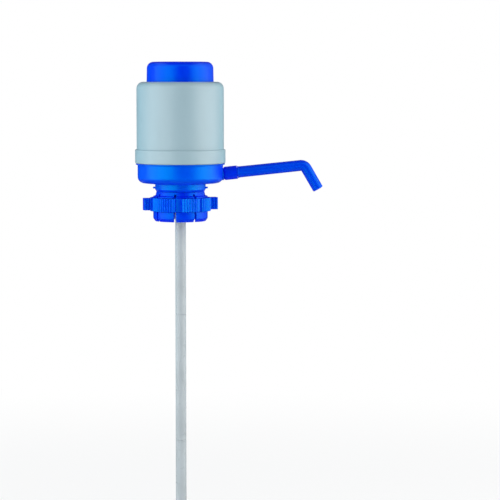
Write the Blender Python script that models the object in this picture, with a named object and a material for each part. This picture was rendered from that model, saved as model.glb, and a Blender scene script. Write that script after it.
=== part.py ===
"""Hand pump that clamps on the neck of a large water bottle, as separate pieces.

Lengths are in metres and angles in degrees. +Z is up the pump's axis, the origin is the centre of the
seat on the bottle's rim, +X is the side of the spout, and -Y is the side that faces the viewer.
Outlines of turned pieces are (radius, height) corners, with a fillet radius where there is a third value.
"""

import math

import bmesh
import bpy
from mathutils import Matrix, Vector

# Fits that all pieces share
SEAT_GAP = 0.0003
TURN_GAP = 0.0004
SLIDE_GAP = 0.0005
CUT_OVERRUN = 0.002
MERGE_DISTANCE = 0.000001

# Facets of round pieces
LARGE_SEGMENTS = 32
FINGER_SEGMENTS = 4
MIDDLE_SEGMENTS = 20
SMALL_SEGMENTS = 16
HOLE_SEGMENTS = 6
FILLET_STEPS = 2
SHARP_EDGE_DEG = 35.0

# Bottle that the pump fits: outside radius of its neck, and depth below the rim
BOTTLE_NECK_RADIUS = 0.0275
BOTTLE_DEPTH = 0.480

# Mouth gasket, which seals on the bottle's rim
GASKET_INSET = 0.0013
GASKET_WIDTH = 0.0062
GASKET_THICKNESS = 0.0025
GASKET_EDGE = 0.0004

# Collet sleeve, whose fingers grip the bottle's neck
FINGER_COUNT = 8
FINGER_TURN_DEG = -55.0
FINGER_SLOT_WIDTH = 0.0028
FINGER_SLOT_TOP = -0.0013
COLLET_GRIP_DEPTH = 0.003
COLLET_WALL = 0.0022
COLLET_FLANGE = 0.0013
COLLET_RIM_TOP = 0.0011
COLLET_SHOULDER = 0.0006
COLLET_RIM_FLARE = 0.0011
COLLET_FLARE_TOP = -0.0037
COLLET_FLARE_DROP = 0.0009
COLLET_LAND = 0.0017
COLLET_SKIRT = 0.0127
COLLET_BOTTOM_ROUND = 0.0030
COLLET_BOTTOM_RISE = 0.0038
COLLET_BOTTOM_TAPER = 0.0026
COLLET_LEAD_IN = 0.0014
GRIP_RIB_HEIGHT = 0.0026
GRIP_RIB_SHARES = (0.83, 0.48)
GRIP_LAND_BOTTOM = -0.0064
COLLAR_WALL = 0.0018
COLLAR_CLEARANCE = 0.0015
SNAP_BEAD = 0.0007
SNAP_BEAD_HEIGHT = 0.0016

# Clamp ring, which tightens the collet sleeve
RING_HEIGHT = 0.017
RING_WALL = 0.0030
RING_PAD_RISE = 0.0010
RING_RIB_RISE = 0.0009
RING_RIB_PITCH_DEG = 5.0
RING_RECESS_DEG = 13.0
RING_RECESS_OFFSET_DEG = 22.0
RING_SEGMENTS = 48
LUG_TURN_DEG = 15.0
LUG_LENGTH = 0.0099
LUG_WIDTH = 0.0120
LUG_LIFT = 0.0014
LUG_INSET = 0.0004
LUG_GROOVE_DEPTH = 0.0010
LUG_GROOVE_WIDTH = 0.0012
LUG_GROOVE_SHARES = (0.30, 0.58, 0.86)
LUG_ROOT_DEPTH = 0.0015
LUG_CORNER = 0.0009

# Base bowl: neck, floor and wall
NECK_WALL = 0.0032
NECK_CHAMFER_WIDTH = 0.0016
NECK_CHAMFER_HEIGHT = 0.0026
BOWL_FLOOR_BOTTOM = 0.0105
BOWL_FLOOR_THICKNESS = 0.003
BOWL_FLOOR_RISE = 0.0020
BOWL_RADIUS = 0.0537
BOWL_CORNER_WIDTH = 0.0070
BOWL_WALL = 0.0024
BOWL_CORNER_ROUND = 0.0078
BOWL_LIP_WIDTH = 0.0023
BOWL_HEIGHT = 0.0257
BOWL_LIP_THICKNESS = 0.0013
SPIGOT_HEIGHT = 0.0078
SPIGOT_WALL = 0.0022
LEDGE_WIDTH = 0.0033
LEDGE_SLOPE = 0.0036
RIB_INSET = 0.0017
RIB_WIDTH = 0.0035
EAR_LENGTH = 0.0027
EAR_WIDTH = 0.0080
EAR_THICKNESS = 0.0020
EAR_DROP = 0.0046
AIR_HOLE_COUNT = 4
AIR_HOLE_RADIUS = 0.0025
AIR_HOLE_FLOOR_SHARE = 5 / 11

# Riser and tube socket in the middle of the bowl
TUBE_BORE_RADIUS = 0.0049
TUBE_WALL = 0.0018
SOCKET_BOTTOM = -0.012
SOCKET_TOP = 0.006
SOCKET_WALL = 0.0030
RISER_HEAD = 0.0087
RISER_BORE_HEAD = 0.0052
TUBE_SEAL_HEIGHT = -0.0040
TUBE_SEAL_THICKNESS = 0.0011

# Outlet channel and spout, along an axis that leaves the pump's axis and rises
OUTLET_LIFT = 0.0073
OUTLET_RISE_DEG = 6.0
CHANNEL_BORE_RADIUS = 0.0045
CHANNEL_WALL = 0.0024
BOSS_RISE = 0.0013
BOSS_DEPTH = 0.0030
BOSS_LENGTH = 0.0009
NOSE_LENGTH = 0.0094
SPOUT_SEAL_THICKNESS = 0.0016
SPOUT_FLANGE_THICKNESS = 0.0018
SPOUT_NECK_WALL = 0.0011
SPOUT_RIDGE_RISE = 0.0005
SPOUT_RIDGE_LENGTH = 0.0016
SPOUT_RIDGE_EDGE = 0.0003
SPOUT_ROOT_WALL = 0.0026
SPOUT_BEND_WALL = 0.0024
SPOUT_TIP_WALL = 0.00185
SPOUT_TIP_EDGE = 0.0006
SPOUT_ARM_LENGTH = 0.1568
SPOUT_TIP_LENGTH = 0.0349
SPOUT_TIP_FROM_VERTICAL_DEG = 30.0
SPOUT_ELBOW_RADIUS = 0.0076
SPOUT_ELBOW_STEPS = 6
NUT_WALL = 0.00125
NUT_SHOULDER = 0.0037
NUT_CHAMFER = 0.0014
NUT_EDGE = 0.0005

# Housing
HOUSING_STANDOFF = 0.0011
HOUSING_WALL = 0.0022
HOUSING_HEIGHT = 0.1021
HOUSING_TOP_ROUND = 0.0070
BAND_RISE = 0.0020
BAND_HEIGHT = 0.0174
BAND_ROUND = 0.0016
BAND_STEP_ROUND = 0.0008
GUIDE_WALL = 0.0020
GUIDE_LENGTH = 0.0131

# Push cap
CAP_INSET = 0.0128
CAP_DRAFT = 0.0005
CAP_WALL = 0.0022
CAP_STROKE = 0.0220
CAP_LEFT_STANDING = 0.0032
CAP_TOP_ROUND = 0.0080
CAP_FLANGE = 0.0030
CAP_FLANGE_THICKNESS = 0.0027
CAP_RIB_RADIUS = 0.0160
CAP_RIB_LENGTH = 0.0088
CAP_RIB_WALL = 0.0022

# Valve plate, its seal, and the ring that holds the stack in the bowl
PLATE_THICKNESS = 0.0025
PLATE_SEAL_THICKNESS = 0.0012
SPRING_SEAT_HEIGHT = 0.0030
SPRING_SEAT_WALL = 0.0018
BELLOWS_FOOT_THICKNESS = 0.0015
HOLD_DOWN_THICKNESS = 0.0034
HOLD_DOWN_LAP = 0.0060
HOLD_DOWN_BEAD = 0.0011
HOLD_DOWN_BEAD_HEIGHT = 0.0014

# Bellows and the plate that closes its top
BELLOWS_CLEARANCE = 0.0023
BELLOWS_FOLD_DEPTH = 0.0080
BELLOWS_WALL = 0.0013
BELLOWS_FOOT_WIDTH = 0.0081
BELLOWS_FOLDS = 6
PLUG_WALL = 0.0027
PLUG_DEPTH = 0.0090

# Return spring
SPRING_WIRE = 0.0022
SPRING_CLOSED_PITCH = 0.0028
SPRING_ACTIVE_TURNS = 5
SPRING_POINTS_PER_TURN = 8
SPRING_BEVEL_STEPS = 1

# Mushroom valves, alike in both plates
VALVE_RADIUS = 0.0076
VALVE_RIM = 0.0007
VALVE_CROWN = 0.0015
VALVE_STEM_RADIUS = 0.0015
VALVE_HEAD_RADIUS = 0.0026
VALVE_HEAD_HEIGHT = 0.0030
VALVE_LIFT = 0.0012
PORT_COUNT = 6
PORT_RADIUS = 0.0012
PORT_CIRCLE = 0.0050

# Dip tube in three lengths with plug joints
TUBE_FOOT_CLEARANCE = 0.005
TUBE_JOINT_LENGTH = 0.012
TUBE_PLUG_WALL = 0.0008
TUBE_COUNT = 3
TUBE_NOTCH_WIDTH = 0.0040
TUBE_NOTCH_DEPTH = 0.0050

# Colours, as linear red, green and blue
HOUSING_GREY = (0.50, 0.58, 0.62)
PUMP_BLUE = (0.000, 0.095, 0.730)
TUBE_GREY = (0.62, 0.68, 0.70)
INNER_WHITE = (0.72, 0.74, 0.74)
RUBBER_DARK = (0.030, 0.030, 0.032)
RUBBER_PALE = (0.55, 0.56, 0.55)
STEEL = (0.55, 0.55, 0.56)

# Places that follow from the sizes above: neck, collet sleeve and clamp ring
GASKET_OUTER_RADIUS = BOTTLE_NECK_RADIUS - GASKET_INSET
GASKET_INNER_RADIUS = GASKET_OUTER_RADIUS - GASKET_WIDTH
COLLAR_INNER_RADIUS = GASKET_OUTER_RADIUS + SEAT_GAP
COLLAR_RADIUS = COLLAR_INNER_RADIUS + COLLAR_WALL
NECK_INNER_RADIUS = COLLAR_RADIUS + SEAT_GAP
NECK_RADIUS = NECK_INNER_RADIUS + NECK_WALL
NECK_BOTTOM = COLLET_RIM_TOP + SEAT_GAP
COLLET_RIM_RADIUS = NECK_RADIUS - NECK_CHAMFER_WIDTH
GRIP_RADIUS = BOTTLE_NECK_RADIUS + SEAT_GAP
COLLET_INNER_RADIUS = GRIP_RADIUS + COLLET_GRIP_DEPTH
COLLET_GROOVE_RADIUS = COLLET_INNER_RADIUS + COLLET_WALL
COLLET_RADIUS = COLLET_GROOVE_RADIUS + COLLET_FLANGE
COLLET_FLARE_BOTTOM = COLLET_FLARE_TOP - COLLET_FLARE_DROP
RING_TOP = COLLET_FLARE_BOTTOM - COLLET_LAND
RING_BOTTOM = RING_TOP - RING_HEIGHT
RING_INNER_RADIUS = COLLET_GROOVE_RADIUS + TURN_GAP
RING_RECESS_RADIUS = RING_INNER_RADIUS + RING_WALL
RING_PAD_RADIUS = RING_RECESS_RADIUS + RING_PAD_RISE
LUG_REACH = RING_PAD_RADIUS + LUG_LENGTH
COLLET_BOTTOM = RING_BOTTOM - COLLET_SKIRT

# Places in the bowl: floor, rim, riser, socket and outlet
BOWL_FLOOR_TOP = BOWL_FLOOR_BOTTOM + BOWL_FLOOR_THICKNESS
BOWL_INNER_RADIUS = BOWL_RADIUS - BOWL_WALL
BOWL_LIP_RADIUS = BOWL_RADIUS + BOWL_LIP_WIDTH
BOWL_LIP_TOP = BOWL_FLOOR_BOTTOM + BOWL_HEIGHT
HOUSING_RADIUS = BOWL_RADIUS + HOUSING_STANDOFF
BAND_RADIUS = HOUSING_RADIUS + BAND_RISE
SPIGOT_TOP = BOWL_LIP_TOP + SPIGOT_HEIGHT
SPIGOT_RADIUS = BAND_RADIUS - HOUSING_WALL - SEAT_GAP
SPIGOT_INNER_RADIUS = SPIGOT_RADIUS - SPIGOT_WALL
LEDGE_RADIUS = SPIGOT_INNER_RADIUS - LEDGE_WIDTH
COLLAR_TOP = BOWL_FLOOR_BOTTOM - COLLAR_CLEARANCE
EAR_HEIGHT = BOWL_FLOOR_BOTTOM - EAR_DROP
EAR_REACH = NECK_RADIUS + EAR_LENGTH
RIB_BOTTOM = GASKET_THICKNESS + SEAT_GAP
RIB_OUTER_RADIUS = GASKET_OUTER_RADIUS - RIB_INSET
RIB_INNER_RADIUS = RIB_OUTER_RADIUS - RIB_WIDTH
TUBE_RADIUS = TUBE_BORE_RADIUS + TUBE_WALL
SOCKET_RADIUS = TUBE_RADIUS + SEAT_GAP
RISER_RADIUS = SOCKET_RADIUS + SOCKET_WALL
AIR_HOLE_CIRCLE = RISER_RADIUS + (RIB_INNER_RADIUS - RISER_RADIUS) * AIR_HOLE_FLOOR_SHARE
OUTLET_HEIGHT = BOWL_FLOOR_BOTTOM + OUTLET_LIFT
RISER_TOP = OUTLET_HEIGHT + RISER_HEAD
RISER_BORE_TOP = OUTLET_HEIGHT + RISER_BORE_HEAD

# Places of the housing, the cap and the pressure plate
HOUSING_BOTTOM = BOWL_LIP_TOP + SEAT_GAP
HOUSING_TOP = HOUSING_BOTTOM + HOUSING_HEIGHT
CAP_RADIUS = HOUSING_RADIUS - CAP_INSET
GUIDE_INNER_RADIUS = CAP_RADIUS + SLIDE_GAP
GUIDE_BOTTOM = HOUSING_TOP - GUIDE_LENGTH
CAP_TOP = HOUSING_TOP + CAP_LEFT_STANDING + CAP_STROKE
CAP_FLANGE_TOP = GUIDE_BOTTOM - SEAT_GAP
CAP_BOTTOM = CAP_FLANGE_TOP - CAP_FLANGE_THICKNESS
CAP_RIB_BOTTOM = CAP_TOP - CAP_WALL - CAP_RIB_LENGTH
PRESSURE_PLATE_TOP = CAP_RIB_BOTTOM - SEAT_GAP
PRESSURE_PLATE_BOTTOM = PRESSURE_PLATE_TOP - PLATE_THICKNESS

# Places of the stack in the bowl: ring, bellows, plate and seal
STACK_RADIUS = SPIGOT_INNER_RADIUS - SEAT_GAP
HOLD_DOWN_TOP = SPIGOT_TOP - HOLD_DOWN_BEAD_HEIGHT - SEAT_GAP - HOLD_DOWN_BEAD
HOLD_DOWN_BOTTOM = HOLD_DOWN_TOP - HOLD_DOWN_THICKNESS
BELLOWS_RADIUS = CAP_RADIUS - CAP_WALL - BELLOWS_CLEARANCE
BELLOWS_BORE_RADIUS = BELLOWS_RADIUS - BELLOWS_FOLD_DEPTH
BELLOWS_FOOT_RADIUS = BELLOWS_RADIUS + BELLOWS_FOOT_WIDTH
BELLOWS_FOOT_TOP = HOLD_DOWN_BOTTOM - SEAT_GAP
BELLOWS_BOTTOM = BELLOWS_FOOT_TOP - BELLOWS_FOOT_THICKNESS
BELLOWS_TOP = PRESSURE_PLATE_BOTTOM - SEAT_GAP
VALVE_PLATE_TOP = BELLOWS_BOTTOM - SEAT_GAP
VALVE_PLATE_BOTTOM = VALVE_PLATE_TOP - PLATE_THICKNESS
PLATE_SEAL_TOP = VALVE_PLATE_BOTTOM - SEAT_GAP
PLATE_SEAL_BOTTOM = PLATE_SEAL_TOP - PLATE_SEAL_THICKNESS
LEDGE_HEIGHT = PLATE_SEAL_BOTTOM - SEAT_GAP

PLUG_RADIUS = BELLOWS_BORE_RADIUS - SEAT_GAP
PLUG_INNER_RADIUS = PLUG_RADIUS - PLUG_WALL
SPRING_RADIUS = PLUG_INNER_RADIUS - SLIDE_GAP - SPRING_WIRE / 2
SPRING_CHORD_RADIUS = SPRING_RADIUS * math.cos(math.pi / SPRING_POINTS_PER_TURN)
SPRING_SEAT_RADIUS = SPRING_CHORD_RADIUS - SPRING_WIRE / 2 - SEAT_GAP
VALVE_STEM_LENGTH = SEAT_GAP + PLATE_THICKNESS + SEAT_GAP + VALVE_LIFT

# Places along the spout's axis
NOSE_RADIUS = CHANNEL_BORE_RADIUS + CHANNEL_WALL
BOSS_RADIUS = NOSE_RADIUS + BOSS_RISE
NUT_INNER_RADIUS = NOSE_RADIUS + SEAT_GAP
NUT_RADIUS = NUT_INNER_RADIUS + NUT_WALL
SPOUT_NECK_RADIUS = CHANNEL_BORE_RADIUS + SPOUT_NECK_WALL
SPOUT_ROOT_RADIUS = CHANNEL_BORE_RADIUS + SPOUT_ROOT_WALL
SPOUT_RIDGE_RADIUS = SPOUT_ROOT_RADIUS + SPOUT_RIDGE_RISE
SPOUT_BEND_RADIUS = CHANNEL_BORE_RADIUS + SPOUT_BEND_WALL
SPOUT_TIP_RADIUS = TUBE_BORE_RADIUS + SPOUT_TIP_WALL
NOSE_START = BOWL_RADIUS + BOSS_LENGTH
NOSE_END = NOSE_START + NOSE_LENGTH
SPOUT_FLANGE_START = NOSE_END + SEAT_GAP + SPOUT_SEAL_THICKNESS + SEAT_GAP
SPOUT_FLANGE_END = SPOUT_FLANGE_START + SPOUT_FLANGE_THICKNESS
NUT_START = NOSE_START + SEAT_GAP
NUT_SHOULDER_START = SPOUT_FLANGE_END + SEAT_GAP
NUT_END = NUT_SHOULDER_START + NUT_SHOULDER
SPOUT_RIDGE_START = NUT_END + SEAT_GAP
SPOUT_RIDGE_END = SPOUT_RIDGE_START + SPOUT_RIDGE_LENGTH
SPOUT_TURN_DEG = 90.0 + OUTLET_RISE_DEG - SPOUT_TIP_FROM_VERTICAL_DEG
SPOUT_ELBOW_REACH = SPOUT_ELBOW_RADIUS * math.tan(math.radians(SPOUT_TURN_DEG) / 2)

# Places along the dip tube
TUBE_TOP = SOCKET_TOP - SEAT_GAP
TUBE_BOTTOM = TUBE_FOOT_CLEARANCE - BOTTLE_DEPTH
TUBE_PITCH = (TUBE_TOP - TUBE_BOTTOM) / TUBE_COUNT
TUBE_PLUG_RADIUS = TUBE_BORE_RADIUS + TUBE_PLUG_WALL


def finish(name, colour, roughness, metallic=0.0):
    """Return a Principled material of one colour."""
    material = bpy.data.materials.new(name)
    material.use_nodes = True
    shader = material.node_tree.nodes["Principled BSDF"]
    shader.inputs["Base Color"].default_value = (*colour, 1.0)
    shader.inputs["Roughness"].default_value = roughness
    shader.inputs["Metallic"].default_value = metallic
    material.diffuse_color = (*colour, 1.0)
    return material


def add_object(name, data, material=None, parent=None):
    """Link a new object to the scene, with its material and parent."""
    piece = bpy.data.objects.new(name, data)
    bpy.context.collection.objects.link(piece)
    if material:
        data.materials.append(material)
    piece.parent = parent
    return piece


def add_empty(name, location=(0, 0, 0), rotation=(0, 0, 0)):
    """Add an empty that carries pieces, placed by its location and rotation."""
    empty = add_object(name, None)
    empty.location = location
    empty.rotation_euler = rotation
    return empty


def mesh_from(name, bm):
    """Turn a bmesh into a smooth-shaded mesh whose faces point outwards."""
    bmesh.ops.remove_doubles(bm, verts=bm.verts[:], dist=MERGE_DISTANCE)
    bmesh.ops.recalc_face_normals(bm, faces=bm.faces[:])
    mesh = bpy.data.meshes.new(name)
    bm.to_mesh(mesh)
    bm.free()
    mesh.shade_smooth()
    mesh.set_sharp_from_angle(angle=math.radians(SHARP_EDGE_DEG))
    return mesh


def rounded(corners):
    """Replace each corner that has a fillet radius by the points of its arc."""
    points = []
    count = len(corners)
    for index, corner in enumerate(corners):
        here = Vector(corner[:2])
        if len(corner) < 3:
            points.append(here)
            continue
        to_last = (Vector(corners[index - 1][:2]) - here).normalized()
        to_next = (Vector(corners[(index + 1) % count][:2]) - here).normalized()
        half_angle = to_last.angle(to_next) / 2
        radius = corner[2]
        reach = radius / math.tan(half_angle)
        centre = here + (to_last + to_next).normalized() * radius / math.sin(half_angle)
        start = (here + to_last * reach - centre).normalized()
        end = (here + to_next * reach - centre).normalized()
        for step in range(FILLET_STEPS + 1):
            points.append(centre + start.slerp(end, step / FILLET_STEPS) * radius)
    return points


def turned_mesh(name, corners, segments=LARGE_SEGMENTS):
    """Spin an outline about Z. An outline that starts and ends on the axis stays open there."""
    points = rounded(corners)
    on_axis = points[0].x == 0 and points[-1].x == 0
    bm = bmesh.new()
    verts = [bm.verts.new((point.x, 0, point.y)) for point in points]
    pairs = list(zip(verts, verts[1:]))
    if not on_axis:
        pairs.append((verts[-1], verts[0]))
    edges = [bm.edges.new(pair) for pair in pairs]
    bmesh.ops.spin(bm, geom=verts + edges, cent=(0, 0, 0), axis=(0, 0, 1), dvec=(0, 0, 0),
                   angle=math.tau, steps=segments, use_merge=True, use_duplicate=False)
    return mesh_from(name, bm)


def prism_mesh(name, points, bottom, top):
    """Extrude a flat outline of (x, y) points from one height to another."""
    bm = bmesh.new()
    face = bm.faces.new([bm.verts.new((x, y, bottom)) for x, y in points])
    raised = bmesh.ops.extrude_face_region(bm, geom=[face])["geom"]
    verts = [item for item in raised if isinstance(item, bmesh.types.BMVert)]
    bmesh.ops.translate(bm, verts=verts, vec=(0, 0, top - bottom))
    return mesh_from(name, bm)


def box_mesh(name, low, high, copies=1):
    """Make a box between two corners, repeated evenly about Z."""
    bm = bmesh.new()
    size = Vector(high) - Vector(low)
    centre = (Vector(high) + Vector(low)) / 2
    for index in range(copies):
        turn = Matrix.Rotation(math.tau * index / copies, 4, "Z")
        scale = Matrix.Diagonal((*size, 1))
        bmesh.ops.create_cube(bm, size=1, matrix=turn @ Matrix.Translation(centre) @ scale)
    return mesh_from(name, bm)


def drill_mesh(name, radius, bottom, top, circle, copies, turn_deg=0.0):
    """Make upright cylinders, evenly about Z on a circle."""
    bm = bmesh.new()
    for index in range(copies):
        angle = math.tau * index / copies + math.radians(turn_deg)
        place = Vector((circle * math.cos(angle), circle * math.sin(angle), (bottom + top) / 2))
        bmesh.ops.create_cone(bm, cap_ends=True, segments=HOLE_SEGMENTS, radius1=radius,
                              radius2=radius, depth=top - bottom, matrix=Matrix.Translation(place))
    return mesh_from(name, bm)


def join_or_cut(piece, tool_mesh, operation, parent=None, turn_deg=0.0):
    """Add a Boolean with a hidden tool object to a piece."""
    tool = add_object(f"{piece.name}_{tool_mesh.name}", tool_mesh, parent=parent or piece.parent)
    tool.rotation_euler.z = math.radians(turn_deg)
    tool.hide_render = True
    tool.display_type = "WIRE"
    modifier = piece.modifiers.new(tool_mesh.name, "BOOLEAN")
    modifier.operation = operation
    modifier.solver = "EXACT"
    modifier.object = tool
    return tool


def add_turned(name, corners, material, parent=None, segments=LARGE_SEGMENTS):
    """Add a piece that is an outline spun about Z."""
    return add_object(name, turned_mesh(name, corners, segments), material, parent)


def add_o_ring(name, radius, thickness, height, material, parent=None):
    """Add a rubber ring of round section, seated with its middle at one height."""
    bm = bmesh.new()
    place = Matrix.Translation((radius, 0, height)) @ Matrix.Rotation(math.pi / 2, 4, "X")
    bmesh.ops.create_circle(bm, segments=HOLE_SEGMENTS, radius=thickness / 2, matrix=place)
    bmesh.ops.spin(bm, geom=bm.verts[:] + bm.edges[:], cent=(0, 0, 0), axis=(0, 0, 1), dvec=(0, 0, 0),
                   angle=math.tau, steps=MIDDLE_SEGMENTS, use_merge=True, use_duplicate=False)
    return add_object(name, mesh_from(name, bm), material, parent)


def build_push_cap(button):
    """Cap with a slightly tapered skirt, a flange that keeps it in, and a rib that drives the plate."""
    inner = CAP_RADIUS - CAP_WALL
    top_inner = inner - CAP_DRAFT
    flange = CAP_RADIUS + CAP_FLANGE
    rib_inner = CAP_RIB_RADIUS - CAP_RIB_WALL
    return add_turned("push_cap", [
        (0, CAP_TOP),
        (CAP_RADIUS - CAP_DRAFT, CAP_TOP, CAP_TOP_ROUND),
        (CAP_RADIUS, HOUSING_TOP),
        (CAP_RADIUS, CAP_FLANGE_TOP),
        (flange, CAP_FLANGE_TOP),
        (flange, CAP_BOTTOM),
        (inner, CAP_BOTTOM),
        (inner, HOUSING_TOP),
        (top_inner, CAP_TOP - CAP_WALL, CAP_TOP_ROUND - CAP_WALL),
        (CAP_RIB_RADIUS, CAP_TOP - CAP_WALL),
        (CAP_RIB_RADIUS, CAP_RIB_BOTTOM),
        (rib_inner, CAP_RIB_BOTTOM),
        (rib_inner, CAP_TOP - CAP_WALL),
        (0, CAP_TOP - CAP_WALL),
    ], finish("cap_blue", PUMP_BLUE, 0.35), button)


def build_housing():
    """Tall cover with a wider band that snaps over the bowl's spigot, and a guide sleeve for the cap."""
    inner = HOUSING_RADIUS - HOUSING_WALL
    band_top = HOUSING_BOTTOM + BAND_HEIGHT
    band_inner = BAND_RADIUS - HOUSING_WALL
    guide_outer = GUIDE_INNER_RADIUS + GUIDE_WALL
    groove_low = HOUSING_BOTTOM + SNAP_BEAD_HEIGHT * 2 - SEAT_GAP
    groove_high = groove_low + SNAP_BEAD_HEIGHT + SEAT_GAP * 2
    return add_turned("housing", [
        (HOUSING_RADIUS, HOUSING_TOP, HOUSING_TOP_ROUND),
        (HOUSING_RADIUS, band_top),
        (BAND_RADIUS, band_top, BAND_STEP_ROUND),
        (BAND_RADIUS, HOUSING_BOTTOM, BAND_ROUND),
        (band_inner, HOUSING_BOTTOM),
        (band_inner, groove_low),
        (band_inner + SNAP_BEAD, groove_low),
        (band_inner + SNAP_BEAD, groove_high),
        (band_inner, groove_high),
        (band_inner, band_top - HOUSING_WALL),
        (inner, band_top - HOUSING_WALL),
        (inner, HOUSING_TOP - HOUSING_WALL, HOUSING_TOP_ROUND - HOUSING_WALL),
        (guide_outer, HOUSING_TOP - HOUSING_WALL),
        (guide_outer, GUIDE_BOTTOM),
        (GUIDE_INNER_RADIUS, GUIDE_BOTTOM),
        (GUIDE_INNER_RADIUS, HOUSING_TOP),
    ], finish("housing_grey", HOUSING_GREY, 0.45))


def build_base_bowl(outlet):
    """Bowl with its neck, riser, tube socket and outlet channel, all one moulding."""
    bead_low = HOUSING_BOTTOM + SNAP_BEAD_HEIGHT * 2
    bead_high = bead_low + SNAP_BEAD_HEIGHT
    corner_radius = BOWL_RADIUS - BOWL_CORNER_WIDTH
    groove_low = COLLAR_TOP - SNAP_BEAD_HEIGHT * 2 - SEAT_GAP
    groove_high = groove_low + SNAP_BEAD_HEIGHT + SEAT_GAP * 2
    hold_bead_bottom = HOLD_DOWN_TOP + SEAT_GAP
    hold_bead_top = hold_bead_bottom + HOLD_DOWN_BEAD_HEIGHT
    bowl = add_turned("base_bowl", [
        (0, RISER_TOP),
        (RISER_RADIUS, RISER_TOP),
        (RISER_RADIUS, BOWL_FLOOR_TOP),
        (corner_radius - BOWL_WALL, BOWL_FLOOR_TOP),
        (BOWL_INNER_RADIUS, BOWL_FLOOR_TOP, BOWL_CORNER_ROUND - BOWL_WALL),
        (BOWL_INNER_RADIUS, LEDGE_HEIGHT - LEDGE_SLOPE),
        (LEDGE_RADIUS, LEDGE_HEIGHT),
        (SPIGOT_INNER_RADIUS, LEDGE_HEIGHT),
        (SPIGOT_INNER_RADIUS, hold_bead_bottom),
        (SPIGOT_INNER_RADIUS - HOLD_DOWN_BEAD, hold_bead_bottom),
        (SPIGOT_INNER_RADIUS, hold_bead_top),
        (SPIGOT_INNER_RADIUS, SPIGOT_TOP),
        (SPIGOT_RADIUS, SPIGOT_TOP),
        (SPIGOT_RADIUS, bead_high),
        (SPIGOT_RADIUS + SNAP_BEAD, bead_low),
        (SPIGOT_RADIUS, bead_low),
        (SPIGOT_RADIUS, BOWL_LIP_TOP),
        (BOWL_LIP_RADIUS, BOWL_LIP_TOP),
        (BOWL_LIP_RADIUS, BOWL_LIP_TOP - BOWL_LIP_THICKNESS),
        (BOWL_RADIUS, BOWL_LIP_TOP - BOWL_LIP_THICKNESS),
        (BOWL_RADIUS, BOWL_FLOOR_BOTTOM + BOWL_FLOOR_RISE, BOWL_CORNER_ROUND),
        (NECK_RADIUS, BOWL_FLOOR_BOTTOM),
        (NECK_RADIUS, NECK_BOTTOM + NECK_CHAMFER_HEIGHT),
        (COLLET_RIM_RADIUS, NECK_BOTTOM),
        (NECK_INNER_RADIUS, NECK_BOTTOM),
        (NECK_INNER_RADIUS, groove_low),
        (NECK_INNER_RADIUS + SNAP_BEAD, groove_low),
        (NECK_INNER_RADIUS + SNAP_BEAD, groove_high),
        (NECK_INNER_RADIUS, groove_high),
        (NECK_INNER_RADIUS, BOWL_FLOOR_BOTTOM),
        (RIB_OUTER_RADIUS, BOWL_FLOOR_BOTTOM),
        (RIB_OUTER_RADIUS, RIB_BOTTOM),
        (RIB_INNER_RADIUS, RIB_BOTTOM),
        (RIB_INNER_RADIUS, BOWL_FLOOR_BOTTOM),
        (RISER_RADIUS, BOWL_FLOOR_BOTTOM),
        (RISER_RADIUS, SOCKET_BOTTOM),
        (0, SOCKET_BOTTOM),
    ], finish("bowl_blue", PUMP_BLUE, 0.35))

    channel = turned_mesh("channel", [
        (0, NOSE_END),
        (NOSE_RADIUS, NOSE_END),
        (NOSE_RADIUS, NOSE_START),
        (BOSS_RADIUS, NOSE_START),
        (BOSS_RADIUS, BOWL_RADIUS - BOSS_DEPTH),
        (NOSE_RADIUS, BOWL_RADIUS - BOSS_DEPTH),
        (NOSE_RADIUS, 0),
        (0, 0),
    ], MIDDLE_SEGMENTS)
    join_or_cut(bowl, channel, "UNION", parent=outlet)

    ear_low = EAR_HEIGHT - EAR_THICKNESS / 2
    ear_root = NECK_RADIUS - NECK_WALL / 2
    ears = box_mesh("ears", (ear_root, -EAR_WIDTH / 2, ear_low),
                    (EAR_REACH, EAR_WIDTH / 2, ear_low + EAR_THICKNESS), copies=2)
    join_or_cut(bowl, ears, "UNION")

    seal_depth = SOCKET_RADIUS + TUBE_SEAL_THICKNESS + SEAT_GAP
    seal_half = TUBE_SEAL_THICKNESS / 2 + SEAT_GAP
    socket = turned_mesh("socket", [
        (0, RISER_BORE_TOP),
        (TUBE_BORE_RADIUS, RISER_BORE_TOP),
        (TUBE_BORE_RADIUS, SOCKET_TOP),
        (SOCKET_RADIUS, SOCKET_TOP),
        (SOCKET_RADIUS, TUBE_SEAL_HEIGHT + seal_half),
        (seal_depth, TUBE_SEAL_HEIGHT + seal_half),
        (seal_depth, TUBE_SEAL_HEIGHT - seal_half),
        (SOCKET_RADIUS, TUBE_SEAL_HEIGHT - seal_half),
        (SOCKET_RADIUS, SOCKET_BOTTOM - CUT_OVERRUN),
        (0, SOCKET_BOTTOM - CUT_OVERRUN),
    ], MIDDLE_SEGMENTS)
    join_or_cut(bowl, socket, "DIFFERENCE")

    bore = turned_mesh("bore", [
        (0, NOSE_END + CUT_OVERRUN),
        (CHANNEL_BORE_RADIUS, NOSE_END + CUT_OVERRUN),
        (CHANNEL_BORE_RADIUS, 0),
        (0, 0),
    ], SMALL_SEGMENTS)
    join_or_cut(bowl, bore, "DIFFERENCE", parent=outlet)

    holes = drill_mesh("air_holes", AIR_HOLE_RADIUS, BOWL_FLOOR_BOTTOM - CUT_OVERRUN,
                       BOWL_FLOOR_TOP + CUT_OVERRUN, AIR_HOLE_CIRCLE, AIR_HOLE_COUNT,
                       180.0 / AIR_HOLE_COUNT)
    join_or_cut(bowl, holes, "DIFFERENCE")
    return bowl


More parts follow.
